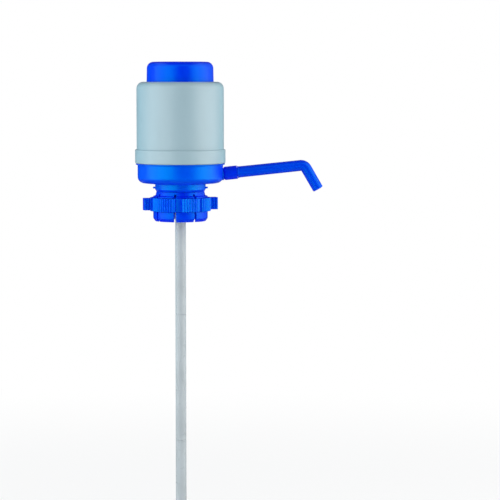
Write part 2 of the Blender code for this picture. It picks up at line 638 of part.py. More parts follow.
def build_collet_sleeve():
    """Slotted sleeve with a collar in the bowl's neck, inner grip ribs and a groove for the ring."""
    segments = FINGER_COUNT * FINGER_SEGMENTS
    groove_top = RING_TOP + SEAT_GAP
    groove_bottom = RING_BOTTOM - SEAT_GAP
    bead_low = COLLAR_TOP - SNAP_BEAD_HEIGHT * 2
    bead_high = bead_low + SNAP_BEAD_HEIGHT
    corners = [
        (COLLAR_INNER_RADIUS, COLLAR_TOP),
        (COLLAR_RADIUS, COLLAR_TOP),
        (COLLAR_RADIUS, bead_high),
        (COLLAR_RADIUS + SNAP_BEAD, bead_low),
        (COLLAR_RADIUS, bead_low),
        (COLLAR_RADIUS, COLLET_RIM_TOP),
        (COLLET_RIM_RADIUS, COLLET_RIM_TOP),
        (COLLET_RIM_RADIUS + COLLET_RIM_FLARE, COLLET_FLARE_TOP),
        (COLLET_RADIUS, COLLET_FLARE_BOTTOM),
        (COLLET_RADIUS, groove_top),
        (COLLET_GROOVE_RADIUS, groove_top),
        (COLLET_GROOVE_RADIUS, groove_bottom),
        (COLLET_RADIUS, groove_bottom),
        (COLLET_RADIUS, COLLET_BOTTOM + COLLET_BOTTOM_RISE, COLLET_BOTTOM_ROUND),
        (COLLET_RADIUS - COLLET_BOTTOM_TAPER, COLLET_BOTTOM),
        (COLLET_INNER_RADIUS, COLLET_BOTTOM),
    ]
    for share in GRIP_RIB_SHARES:
        middle = COLLET_BOTTOM * share
        corners += [
            (COLLET_INNER_RADIUS, middle - GRIP_RIB_HEIGHT / 2 - COLLET_LEAD_IN),
            (GRIP_RADIUS, middle - GRIP_RIB_HEIGHT / 2),
            (GRIP_RADIUS, middle + GRIP_RIB_HEIGHT / 2),
            (COLLET_INNER_RADIUS, middle + GRIP_RIB_HEIGHT / 2),
        ]
    corners += [
        (COLLET_INNER_RADIUS, GRIP_LAND_BOTTOM - COLLET_LEAD_IN),
        (GRIP_RADIUS, GRIP_LAND_BOTTOM),
        (GRIP_RADIUS, COLLET_SHOULDER),
        (COLLAR_INNER_RADIUS, COLLET_SHOULDER),
    ]
    sleeve = add_turned("collet_sleeve", corners, finish("collet_blue", PUMP_BLUE, 0.35), None, segments)
    inside = GRIP_RADIUS - CUT_OVERRUN
    outside = COLLET_RADIUS + CUT_OVERRUN
    slots = box_mesh("slots", (inside, -FINGER_SLOT_WIDTH / 2, COLLET_BOTTOM - CUT_OVERRUN),
                     (outside, FINGER_SLOT_WIDTH / 2, FINGER_SLOT_TOP), copies=FINGER_COUNT)
    join_or_cut(sleeve, slots, "DIFFERENCE", turn_deg=FINGER_TURN_DEG)
    return sleeve


def ring_outline():
    """Return the ring's outer outline: ribbed pads with smooth recesses, alike on both halves."""
    front_deg = LUG_TURN_DEG - 90.0
    recesses = [front_deg + half + side * RING_RECESS_OFFSET_DEG for half in (0, 180) for side in (-1, 1)]
    steps = round(360 / RING_RIB_PITCH_DEG)
    points = []
    for step in range(steps):
        for share, rise in ((0, 0), (0.5, RING_RIB_RISE)):
            angle_deg = LUG_TURN_DEG + (step + share) * RING_RIB_PITCH_DEG
            away = min(abs((angle_deg - recess + 180) % 360 - 180) for recess in recesses)
            in_recess = away < RING_RECESS_DEG / 2
            radius = RING_RECESS_RADIUS if in_recess else RING_PAD_RADIUS + rise
            angle = math.radians(angle_deg)
            points.append((radius * math.cos(angle), radius * math.sin(angle)))
    return points


def lug_outline():
    """Return one lug's plan along +X, with upright grooves in both of its sides."""
    root = RING_RECESS_RADIUS - LUG_ROOT_DEPTH
    half = LUG_WIDTH / 2
    length = LUG_REACH - RING_PAD_RADIUS
    side = [(root, half)]
    for share in LUG_GROOVE_SHARES:
        middle = RING_PAD_RADIUS + length * share
        side += [
            (middle - LUG_GROOVE_WIDTH / 2, half),
            (middle, half - LUG_GROOVE_DEPTH),
            (middle + LUG_GROOVE_WIDTH / 2, half),
        ]
    side += [(LUG_REACH - LUG_CORNER, half), (LUG_REACH, half - LUG_CORNER)]
    return side + [(x, -y) for x, y in reversed(side)]


def build_clamp_ring(ring_axis):
    """Ring with ribbed pads, recesses between them, and two lugs to turn it by."""
    blue = finish("ring_blue", PUMP_BLUE, 0.35)
    ring = add_object("clamp_ring", prism_mesh("clamp_ring", ring_outline(), 0, RING_HEIGHT), blue, ring_axis)
    lug_top = RING_HEIGHT - LUG_INSET
    for index in range(2):
        lug = prism_mesh(f"lug_{index}", lug_outline(), LUG_LIFT, lug_top)
        join_or_cut(ring, lug, "UNION", turn_deg=LUG_TURN_DEG + 180 * index)
    bore = turned_mesh("bore", [
        (0, RING_HEIGHT + CUT_OVERRUN),
        (RING_INNER_RADIUS, RING_HEIGHT + CUT_OVERRUN),
        (RING_INNER_RADIUS, -CUT_OVERRUN),
        (0, -CUT_OVERRUN),
    ], RING_SEGMENTS)
    join_or_cut(ring, bore, "DIFFERENCE")
    return ring


def build_mouth_gasket():
    """Flat rubber ring between the bottle's rim and the bowl's pressing rib."""
    return add_turned("mouth_gasket", [
        (GASKET_INNER_RADIUS, 0),
        (GASKET_INNER_RADIUS, GASKET_THICKNESS),
        (GASKET_OUTER_RADIUS - GASKET_EDGE, GASKET_THICKNESS),
        (GASKET_OUTER_RADIUS, GASKET_THICKNESS - GASKET_EDGE),
        (GASKET_OUTER_RADIUS, 0),
    ], finish("gasket_rubber", RUBBER_PALE, 0.8))


def plate_with_ports(name, corners, bottom, material, parent=None, segments=LARGE_SEGMENTS):
    """Turn a plate and drill the hole of its valve stem and a ring of ports."""
    plate = add_turned(name, corners, material, parent, segments)
    low = bottom - CUT_OVERRUN
    high = bottom + PLATE_THICKNESS + CUT_OVERRUN
    join_or_cut(plate, drill_mesh("ports", PORT_RADIUS, low, high, PORT_CIRCLE, PORT_COUNT), "DIFFERENCE")
    stem_hole = drill_mesh("stem_hole", VALVE_STEM_RADIUS + TURN_GAP, low, high, 0, 1)
    join_or_cut(plate, stem_hole, "DIFFERENCE")
    return plate


def build_valve_plate():
    """Disc under the bellows, with a raised ring that centres the spring."""
    seat_inner = SPRING_SEAT_RADIUS - SPRING_SEAT_WALL
    return plate_with_ports("valve_plate", [
        (0, VALVE_PLATE_TOP),
        (seat_inner, VALVE_PLATE_TOP),
        (seat_inner, VALVE_PLATE_TOP + SPRING_SEAT_HEIGHT),
        (SPRING_SEAT_RADIUS, VALVE_PLATE_TOP + SPRING_SEAT_HEIGHT),
        (SPRING_SEAT_RADIUS, VALVE_PLATE_TOP),
        (STACK_RADIUS, VALVE_PLATE_TOP),
        (STACK_RADIUS, VALVE_PLATE_BOTTOM),
        (0, VALVE_PLATE_BOTTOM),
    ], VALVE_PLATE_BOTTOM, finish("plate_white", INNER_WHITE, 0.5))


def build_valve_plate_seal():
    """Flat rubber ring between the valve plate and the bowl's ledge."""
    return add_turned("valve_plate_seal", [
        (LEDGE_RADIUS + SEAT_GAP, PLATE_SEAL_TOP),
        (STACK_RADIUS, PLATE_SEAL_TOP),
        (STACK_RADIUS, PLATE_SEAL_BOTTOM),
        (LEDGE_RADIUS + SEAT_GAP, PLATE_SEAL_BOTTOM),
    ], finish("plate_seal_rubber", RUBBER_DARK, 0.8))


def build_pressure_plate(button):
    """Plate on top of the bellows, with a round plug in its mouth and the intake ports."""
    plug_bottom = PRESSURE_PLATE_BOTTOM - PLUG_DEPTH
    return plate_with_ports("pressure_plate", [
        (0, PRESSURE_PLATE_TOP),
        (BELLOWS_RADIUS, PRESSURE_PLATE_TOP),
        (BELLOWS_RADIUS, PRESSURE_PLATE_BOTTOM),
        (PLUG_RADIUS, PRESSURE_PLATE_BOTTOM),
        (PLUG_RADIUS, plug_bottom),
        (PLUG_INNER_RADIUS, plug_bottom),
        (PLUG_INNER_RADIUS, PRESSURE_PLATE_BOTTOM),
        (0, PRESSURE_PLATE_BOTTOM),
    ], PRESSURE_PLATE_BOTTOM, finish("pressure_plate_white", INNER_WHITE, 0.5), button, MIDDLE_SEGMENTS)


def build_bellows():
    """Rubber bellows with a foot flange, a top flange and sharp folds between them."""
    foot_top = BELLOWS_FOOT_TOP
    flange_bottom = BELLOWS_TOP - BELLOWS_FOOT_THICKNESS
    valley = BELLOWS_BORE_RADIUS + BELLOWS_WALL
    pitch = (flange_bottom - foot_top) / BELLOWS_FOLDS
    outside = []
    inside = []
    for fold in range(BELLOWS_FOLDS):
        low = foot_top + fold * pitch
        outside += [(valley, low), (BELLOWS_RADIUS, low + pitch / 2)]
        inside += [(BELLOWS_BORE_RADIUS, low), (BELLOWS_RADIUS - BELLOWS_WALL, low + pitch / 2)]
    outside += [(valley, flange_bottom), (BELLOWS_RADIUS, flange_bottom), (BELLOWS_RADIUS, BELLOWS_TOP)]
    inside += [(BELLOWS_BORE_RADIUS, flange_bottom), (BELLOWS_BORE_RADIUS, BELLOWS_TOP)]
    foot = [
        (BELLOWS_BORE_RADIUS, BELLOWS_BOTTOM),
        (BELLOWS_FOOT_RADIUS, BELLOWS_BOTTOM),
        (BELLOWS_FOOT_RADIUS, foot_top),
    ]
    corners = foot + outside + list(reversed(inside))
    return add_turned("bellows", corners, finish("bellows_rubber", RUBBER_DARK, 0.7), None, MIDDLE_SEGMENTS)


def build_bellows_clamp_ring():
    """Ring that snaps under the bowl's bead and presses the bellows' foot and the valve plate down."""
    lap_radius = BELLOWS_FOOT_RADIUS - HOLD_DOWN_LAP
    rim_inner = BELLOWS_FOOT_RADIUS + TURN_GAP
    return add_turned("bellows_clamp_ring", [
        (lap_radius, HOLD_DOWN_TOP),
        (STACK_RADIUS, HOLD_DOWN_TOP),
        (STACK_RADIUS, VALVE_PLATE_TOP + SEAT_GAP),
        (rim_inner, VALVE_PLATE_TOP + SEAT_GAP),
        (rim_inner, HOLD_DOWN_BOTTOM),
        (lap_radius, HOLD_DOWN_BOTTOM),
    ], finish("clamp_white", INNER_WHITE, 0.5))


def spring_points():
    """Return the wire's centre line: closed end turns, and open turns between them."""
    bottom = VALVE_PLATE_TOP + SEAT_GAP + SPRING_WIRE / 2
    top = PRESSURE_PLATE_BOTTOM - SEAT_GAP - SPRING_WIRE / 2
    active_pitch = (top - bottom - 2 * SPRING_CLOSED_PITCH) / SPRING_ACTIVE_TURNS
    turns = SPRING_ACTIVE_TURNS + 2
    points = []
    for step in range(turns * SPRING_POINTS_PER_TURN + 1):
        turn = step / SPRING_POINTS_PER_TURN
        first = min(turn, 1)
        last = max(turn - turns + 1, 0)
        height = bottom + (first + last) * SPRING_CLOSED_PITCH + (turn - first - last) * active_pitch
        angle = math.tau * turn
        points.append(Vector((SPRING_RADIUS * math.cos(angle), SPRING_RADIUS * math.sin(angle), height)))
    return points


def least_gap(points, thickness, per_turn):
    """Return the least gap between points of a wire that lie half a turn or more apart on it."""
    apart = per_turn // 2
    distances = [(a - b).length for i, a in enumerate(points) for b in points[i + apart:]]
    return min(distances) - thickness


def build_return_spring():
    """Steel coil spring between the valve plate and the pressure plate."""
    points = spring_points()
    print(f"least gap of the spring to itself: {least_gap(points, SPRING_WIRE, SPRING_POINTS_PER_TURN):.5f} m")
    curve = bpy.data.curves.new("return_spring", "CURVE")
    curve.dimensions = "3D"
    curve.bevel_depth = SPRING_WIRE / 2
    curve.bevel_resolution = SPRING_BEVEL_STEPS
    curve.use_fill_caps = True
    spline = curve.splines.new("POLY")
    spline.points.add(len(points) - 1)
    for target, point in zip(spline.points, points):
        target.co = (*point, 1)
    return add_object("return_spring", curve, finish("spring_steel", STEEL, 0.3, 1.0))


def build_valve(name, plate_bottom, parent=None):
    """Mushroom valve that hangs under its plate by a stem with a head."""
    valve = add_turned(name, [
        (0, VALVE_STEM_LENGTH + VALVE_HEAD_HEIGHT),
        (VALVE_STEM_RADIUS, VALVE_STEM_LENGTH + VALVE_HEAD_HEIGHT),
        (VALVE_HEAD_RADIUS, VALVE_STEM_LENGTH),
        (VALVE_STEM_RADIUS, VALVE_STEM_LENGTH),
        (VALVE_STEM_RADIUS, 0),
        (VALVE_RADIUS, 0),
        (VALVE_RADIUS, -VALVE_RIM),
        (VALVE_STEM_RADIUS, -VALVE_CROWN),
        (0, -VALVE_CROWN),
    ], finish(f"{name}_rubber", RUBBER_DARK, 0.7), parent, SMALL_SEGMENTS)
    valve.location.z = plate_bottom - SEAT_GAP
    return valve


def build_spout_nut(outlet):
    """Plain round nut over the outlet nose, with a shoulder behind the spout's flange."""
    neck_hole = SPOUT_NECK_RADIUS + TURN_GAP
    return add_turned("spout_nut", [
        (NUT_INNER_RADIUS, NUT_START),
        (NUT_RADIUS - NUT_CHAMFER, NUT_START),
        (NUT_RADIUS, NUT_START + NUT_CHAMFER),
        (NUT_RADIUS, NUT_END - NUT_EDGE),
        (NUT_RADIUS - NUT_EDGE, NUT_END),
        (neck_hole, NUT_END),
        (neck_hole, NUT_SHOULDER_START),
        (NUT_INNER_RADIUS, NUT_SHOULDER_START),
    ], finish("nut_blue", PUMP_BLUE, 0.35), outlet, MIDDLE_SEGMENTS)


def bent_bar_mesh(name, stations, elbow_radius, tip_stations, segments):
    """Extrude a round bar through its (radius, station) pairs, bend it, and extrude its tip."""
    bm = bmesh.new()
    radius, station = stations[0]
    start = bmesh.ops.create_circle(bm, cap_ends=True, segments=segments, radius=radius,
                                    matrix=Matrix.Translation((0, 0, station)))
    ring = start["verts"]
    edges = [edge for edge in bm.edges if all(vert in ring for vert in edge.verts)]

    def next_ring(edges, move, factor, centre):
        geometry = bmesh.ops.extrude_edge_only(bm, edges=edges)["geom"]
        verts = [item for item in geometry if isinstance(item, bmesh.types.BMVert)]
        bmesh.ops.scale(bm, verts=verts, vec=(factor, factor, factor), space=Matrix.Translation(-centre))
        bmesh.ops.translate(bm, verts=verts, vec=move)
        return verts, [item for item in geometry if isinstance(item, bmesh.types.BMEdge)]

    for next_radius, next_station in stations[1:]:
        move = Vector((0, 0, next_station - station))
        ring, edges = next_ring(edges, move, next_radius / radius, Vector((0, 0, station)))
        radius, station = next_radius, next_station
    turn = math.radians(SPOUT_TURN_DEG)
    bend = bmesh.ops.spin(bm, geom=ring + edges, cent=(elbow_radius, 0, station), axis=(0, 1, 0),
                          dvec=(0, 0, 0), angle=turn, steps=SPOUT_ELBOW_STEPS, use_duplicate=False)
    ring = [item for item in bend["geom_last"] if isinstance(item, bmesh.types.BMVert)]
    edges = [item for item in bend["geom_last"] if isinstance(item, bmesh.types.BMEdge)]
    along = Matrix.Rotation(turn, 3, "Y") @ Vector((0, 0, 1))
    centre = sum((vert.co for vert in ring), Vector()) / len(ring)
    reached = 0
    for next_radius, next_reach in tip_stations:
        move = along * (next_reach - reached)
        ring, edges = next_ring(edges, move, next_radius / radius, centre)
        centre += move
        radius, reached = next_radius, next_reach
    bmesh.ops.contextual_create(bm, geom=edges)
    return mesh_from(name, bm)


def build_spout(outlet):
    """Hollow arm with a flange in the nut, a ridge outside it, an elbow and a bent tip."""
    elbow_start = SPOUT_ARM_LENGTH - SPOUT_ELBOW_REACH
    tip_length = SPOUT_TIP_LENGTH - SPOUT_ELBOW_REACH
    skin = [
        (NOSE_RADIUS, SPOUT_FLANGE_START),
        (NOSE_RADIUS, SPOUT_FLANGE_END),
        (SPOUT_NECK_RADIUS, SPOUT_FLANGE_END),
        (SPOUT_NECK_RADIUS, SPOUT_RIDGE_START),
        (SPOUT_RIDGE_RADIUS, SPOUT_RIDGE_START),
        (SPOUT_RIDGE_RADIUS, SPOUT_RIDGE_END - SPOUT_RIDGE_EDGE),
        (SPOUT_ROOT_RADIUS, SPOUT_RIDGE_END),
        (SPOUT_BEND_RADIUS, elbow_start),
    ]
    tip = [
        (SPOUT_TIP_RADIUS, tip_length - SPOUT_TIP_EDGE),
        (SPOUT_TIP_RADIUS - SPOUT_TIP_EDGE, tip_length),
    ]
    blue = finish("spout_blue", PUMP_BLUE, 0.35)
    mesh = bent_bar_mesh("spout", skin, SPOUT_ELBOW_RADIUS, tip, SMALL_SEGMENTS)
    spout = add_object("spout", mesh, blue, outlet)
    bore = bent_bar_mesh("spout_bore", [
        (CHANNEL_BORE_RADIUS, SPOUT_FLANGE_START - CUT_OVERRUN),
        (CHANNEL_BORE_RADIUS, elbow_start),
    ], SPOUT_ELBOW_RADIUS, [(TUBE_BORE_RADIUS, tip_length + CUT_OVERRUN)], SMALL_SEGMENTS)
    join_or_cut(spout, bore, "DIFFERENCE")
    return spout


def build_dip_tube(name, index, material):
    """One length of the dip tube, with a plug on top and a socket below where it meets its neighbours."""
    top = TUBE_TOP - index * TUBE_PITCH
    bottom = top - TUBE_PITCH
    is_first = index == 0
    is_last = index == TUBE_COUNT - 1
    shoulder = top if is_first else top - SEAT_GAP / 2
    end = bottom if is_last else bottom + SEAT_GAP / 2
    corners = [(TUBE_RADIUS, shoulder), (TUBE_RADIUS, end)]
    if is_last:
        corners += [(TUBE_BORE_RADIUS, end)]
    else:
        socket_top = bottom + TUBE_JOINT_LENGTH + SEAT_GAP
        socket_radius = TUBE_PLUG_RADIUS + SEAT_GAP
        corners += [(socket_radius, end), (socket_radius, socket_top), (TUBE_BORE_RADIUS, socket_top)]
    if is_first:
        corners += [(TUBE_BORE_RADIUS, shoulder)]
    else:
        plug_top = top + TUBE_JOINT_LENGTH
        corners += [(TUBE_BORE_RADIUS, plug_top), (TUBE_PLUG_RADIUS, plug_top), (TUBE_PLUG_RADIUS, shoulder)]
    tube = add_turned(name, corners, material, None, SMALL_SEGMENTS)
    if is_last:
        notch = box_mesh("notch", (-TUBE_RADIUS - CUT_OVERRUN, -TUBE_NOTCH_WIDTH / 2, end - CUT_OVERRUN),
                         (TUBE_RADIUS + CUT_OVERRUN, TUBE_NOTCH_WIDTH / 2, end + TUBE_NOTCH_DEPTH))
        join_or_cut(tube, notch, "DIFFERENCE")
    return tube


def build_pump():
    """Build every piece of the pump in its place."""
    button = add_empty("button_slide")
    ring_axis = add_empty("ring_axis", (0, 0, RING_BOTTOM))
    outlet = add_empty("outlet_axis", (0, 0, OUTLET_HEIGHT), (0, math.radians(90.0 - OUTLET_RISE_DEG), 0))

    build_push_cap(button)
    build_pressure_plate(button)
    build_valve("intake_valve", PRESSURE_PLATE_BOTTOM, button)
    build_housing()
    build_bellows()
    build_return_spring()
    build_bellows_clamp_ring()
    build_valve_plate()
    build_valve_plate_seal()
    build_valve("delivery_valve", VALVE_PLATE_BOTTOM)
    build_base_bowl(outlet)
    build_mouth_gasket()
    build_collet_sleeve()
    build_clamp_ring(ring_axis)
    build_spout(outlet)
    build_spout_nut(outlet)
    seal_radius = (CHANNEL_BORE_RADIUS + NOSE_RADIUS) / 2
    seal_rubber = finish("spout_seal_rubber", RUBBER_DARK, 0.6)
    add_o_ring("spout_o_ring", seal_radius, SPOUT_SEAL_THICKNESS,
               NOSE_END + SEAT_GAP + SPOUT_SEAL_THICKNESS / 2, seal_rubber, outlet)
    add_o_ring("tube_seal", SOCKET_RADIUS + TUBE_SEAL_THICKNESS / 2, TUBE_SEAL_THICKNESS,
               TUBE_SEAL_HEIGHT, finish("tube_seal_rubber", RUBBER_DARK, 0.6))
    for index, name in enumerate(("upper_dip_tube", "middle_dip_tube", "lower_dip_tube")):
        build_dip_tube(name, index, finish(f"{name}_grey", TUBE_GREY, 0.4))


for old in list(bpy.data.objects):
    bpy.data.objects.remove(old, do_unlink=True)
build_pump()
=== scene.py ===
"""Looks of a manual hand pump for a large bottle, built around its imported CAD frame.

Sizes are in millimetres and angles in degrees. A mesh becomes metres where its piece is dressed.
+Z is up the pump's axis, +X is the side of the spout and -Y is the side that faces the camera.
"""

import logging
import math
from collections.abc import Callable, Sequence
from dataclasses import dataclass, field
from enum import Enum

import bmesh
import bpy
from mathutils import Matrix, Vector


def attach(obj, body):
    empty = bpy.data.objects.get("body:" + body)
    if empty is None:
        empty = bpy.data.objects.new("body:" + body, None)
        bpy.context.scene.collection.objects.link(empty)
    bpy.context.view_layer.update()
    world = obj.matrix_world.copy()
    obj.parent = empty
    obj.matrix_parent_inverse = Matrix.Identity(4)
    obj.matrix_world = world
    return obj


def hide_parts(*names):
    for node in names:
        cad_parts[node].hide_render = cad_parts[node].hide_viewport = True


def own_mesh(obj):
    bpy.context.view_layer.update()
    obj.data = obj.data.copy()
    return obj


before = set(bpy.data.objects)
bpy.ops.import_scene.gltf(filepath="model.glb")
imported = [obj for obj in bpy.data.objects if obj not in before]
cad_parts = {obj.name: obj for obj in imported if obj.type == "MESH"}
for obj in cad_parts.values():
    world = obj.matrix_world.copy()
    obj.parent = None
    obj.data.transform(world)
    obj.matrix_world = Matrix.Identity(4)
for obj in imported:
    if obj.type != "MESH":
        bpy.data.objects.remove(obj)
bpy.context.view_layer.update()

LOG = logging.getLogger("hand_pump")

MM = 0.001
MERGE = 1e-4
ROUND_SEGMENTS = 160
SMALL_SEGMENTS = 64
HOLE_SEGMENTS = 32
FILLET_STEP_DEG = 15.0
RIM_STEPS = 3
SHARP_DEG = 32.0
SLOT_TOLERANCE = 0.02
NOISE_DARK = 0.3
NOISE_LIGHT = 0.7

Corner = tuple[float, ...]
Colour = tuple[float, float, float]
BMesh = bmesh.types.BMesh
Material = bpy.types.Material
Socket = bpy.types.NodeSocket


class CadBody(Enum):
    """Bodies of the frame that pieces ride on."""

    BASE = "pump_base"
    BUTTON = "button"
    CLAMP = "clamp"
    SPOUT = "spout_arm"
    NUT = "nut"


class Slot(Enum):
    """Material slots of the record."""

    CAP = "cap_plastic"
    HOUSING = "housing_plastic"
    BOWL = "base_plastic"
    COLLET = "collet_plastic"
    RING = "ring_plastic"
    SPOUT = "spout_plastic"
    TUBE = "tube_plastic"
    BELLOWS = "bellows_rubber"
    GASKET = "gasket_rubber"
    SPRING = "spring_steel"


class Joining(Enum):
    """Ways in which a second body changes a first one."""

    ADD = "UNION"
    CUT = "DIFFERENCE"


# ---- Mesh tools


def round_corner(bm: BMesh, vert: bmesh.types.BMVert, radius: float) -> None:
    """Round one corner of a flat face.

    Args:
        bm: The mesh that holds the face.
        vert: The corner's vertex.
        radius: The fillet radius.
    """
    one, two = (edge.other_vert(vert).co - vert.co for edge in vert.link_edges)
    half = one.angle(two) / 2
    steps = max(2, round(math.degrees(math.pi - 2 * half) / FILLET_STEP_DEG))
    bmesh.ops.bevel(bm, geom=[vert], offset=radius / math.tan(half), offset_type="OFFSET", segments=steps,
                    profile=0.5, affect="VERTICES", material=-1)


def outline_face(corners: Sequence[Corner], place: Matrix) -> BMesh:
    """Make a flat face from corners, with its fillets.

    Args:
        corners: Pairs, each with a fillet radius as a third value where it is rounded.
        place: The matrix that turns (first, second, 0) into space.

    Returns:
        A mesh with that one face.
    """
    bm = bmesh.new()
    verts = [bm.verts.new(place @ Vector((corner[0], corner[1], 0))) for corner in corners]
    bm.faces.new(verts)
    for vert, corner in zip(verts, corners):
        if len(corner) > 2:
            round_corner(bm, vert, corner[2])
    return bm


def turned(corners: Sequence[Corner], segments: int = ROUND_SEGMENTS) -> BMesh:
    """Spin an outline about Z into a closed body.

    Args:
        corners: Corners of (radius, height) or (radius, height, fillet).
        segments: Facets round the axis.

    Returns:
        The closed body.
    """
    bm = outline_face(corners, Matrix.Rotation(math.pi / 2, 4, "X"))
    bmesh.ops.delete(bm, geom=bm.faces[:], context="FACES_ONLY")
    for edge in [edge for edge in bm.edges if all(abs(vert.co.x) < MERGE for vert in edge.verts)]:
        bm.edges.remove(edge)
    bmesh.ops.spin(bm, geom=bm.verts[:] + bm.edges[:], cent=(0, 0, 0), axis=(0, 0, 1), dvec=(0, 0, 0),
                   angle=math.tau, steps=segments, use_merge=True, use_duplicate=False)
    return tidy(bm)


def tidy(bm: BMesh) -> BMesh:
    """Merge doubles and turn all faces outwards.

    Args:
        bm: The mesh to tidy.

    Returns:
        The same mesh.
    """
    bmesh.ops.remove_doubles(bm, verts=bm.verts[:], dist=MERGE)
    bmesh.ops.dissolve_degenerate(bm, edges=bm.edges[:], dist=MERGE)
    bmesh.ops.recalc_face_normals(bm, faces=bm.faces[:])
    return bm


def raised(bm: BMesh, height: float, edge: float = 0.0) -> BMesh:
    """Extrude a flat face upwards and round its upper and lower rims.

    Args:
        bm: A mesh that holds one flat face in the XY plane.
        height: How far to extrude.
        edge: Radius of the rims.

    Returns:
        The same mesh, closed.
    """
    up = bmesh.ops.extrude_face_region(bm, geom=bm.faces[:], use_keep_orig=True)["geom"]
    bmesh.ops.translate(bm, verts=[item for item in up if isinstance(item, bmesh.types.BMVert)],
                        vec=(0, 0, height))
    tidy(bm)
    if edge:
        rims = [item for item in bm.edges if abs(item.verts[0].co.z - item.verts[1].co.z) < MERGE]
        bmesh.ops.bevel(bm, geom=rims, offset=edge, offset_type="OFFSET", segments=RIM_STEPS, profile=0.5,
                        affect="EDGES", material=-1, clamp_overlap=True)
    return bm


def holder(bm: BMesh, name: str = "working") -> bpy.types.Object:
    """Put a mesh into a new linked object and free it.

    Args:
        bm: The mesh.
        name: The object's name.

    Returns:
        The object.
    """
    mesh = bpy.data.meshes.new(name)
    bm.to_mesh(mesh)
    bm.free()
    made = bpy.data.objects.new(name, mesh)
    bpy.context.scene.collection.objects.link(made)
    return made


def combined(body: BMesh, tool: BMesh, how: Joining) -> BMesh:
    """Join a second body to a first one, or cut it out.

    Args:
        body: The body to change. It is freed.
        tool: The second body. It is freed.
        how: Whether it is added or cut.

    Returns:
        The new body.
    """
    target, other = holder(body), holder(tool)
    modifier = target.modifiers.new(how.name.lower(), "BOOLEAN")
    modifier.operation = how.value
    modifier.solver = "EXACT"
    modifier.object = other
    changed = target.evaluated_get(bpy.context.evaluated_depsgraph_get())
    bm = bmesh.new()
    bm.from_mesh(changed.to_mesh())
    changed.to_mesh_clear()
    for item in (target, other):
        data = item.data
        bpy.data.objects.remove(item)
        bpy.data.meshes.remove(data)
    return tidy(bm)


def around(bm: BMesh, copies: int, first_deg: float = 0.0) -> BMesh:
    """Repeat a body evenly about Z.

    Args:
        bm: The body, at an angle of zero.
        copies: How many there are in all.
        first_deg: The turn of the first one.

    Returns:
        The same mesh, with all copies.
    """
    first = bm.verts[:] + bm.edges[:] + bm.faces[:]
    for index in range(1, copies):
        copy = bmesh.ops.duplicate(bm, geom=first)["geom"]
        bmesh.ops.rotate(bm, verts=[item for item in copy if isinstance(item, bmesh.types.BMVert)],
                         cent=(0, 0, 0), matrix=Matrix.Rotation(math.tau * index / copies, 3, "Z"))
    bmesh.ops.rotate(bm, verts=bm.verts[:], cent=(0, 0, 0),
                     matrix=Matrix.Rotation(math.radians(first_deg), 3, "Z"))
    return bm


def block(low: Sequence[float], high: Sequence[float]) -> BMesh:
    """Make a rectangular tool body between two corners.

    Args:
        low: The lowest corner.
        high: The highest corner.

    Returns:
        The block.
    """
    bm = bmesh.new()
    size = Vector(high) - Vector(low)
    middle = (Vector(high) + Vector(low)) / 2
    bmesh.ops.create_cube(bm, size=1, matrix=Matrix.Translation(middle) @ Matrix.Diagonal((*size, 1)))
    return bm


def soften(bm: BMesh, wanted: Callable[[bmesh.types.BMEdge], bool], width: float) -> None:
    """Round the hard edges that a test picks out.

    Args:
        bm: The mesh.
        wanted: Says whether an edge is one of them.
        width: The width of the rounding.
    """
    hard = math.radians(SHARP_DEG)
    edges = [edge for edge in bm.edges
             if len(edge.link_faces) == 2 and edge.calc_face_angle(0) > hard and wanted(edge)]
    bmesh.ops.bevel(bm, geom=edges, offset=width, offset_type="OFFSET", segments=2, profile=0.5,
                    affect="EDGES", material=-1, clamp_overlap=True)


# ---- Finishes


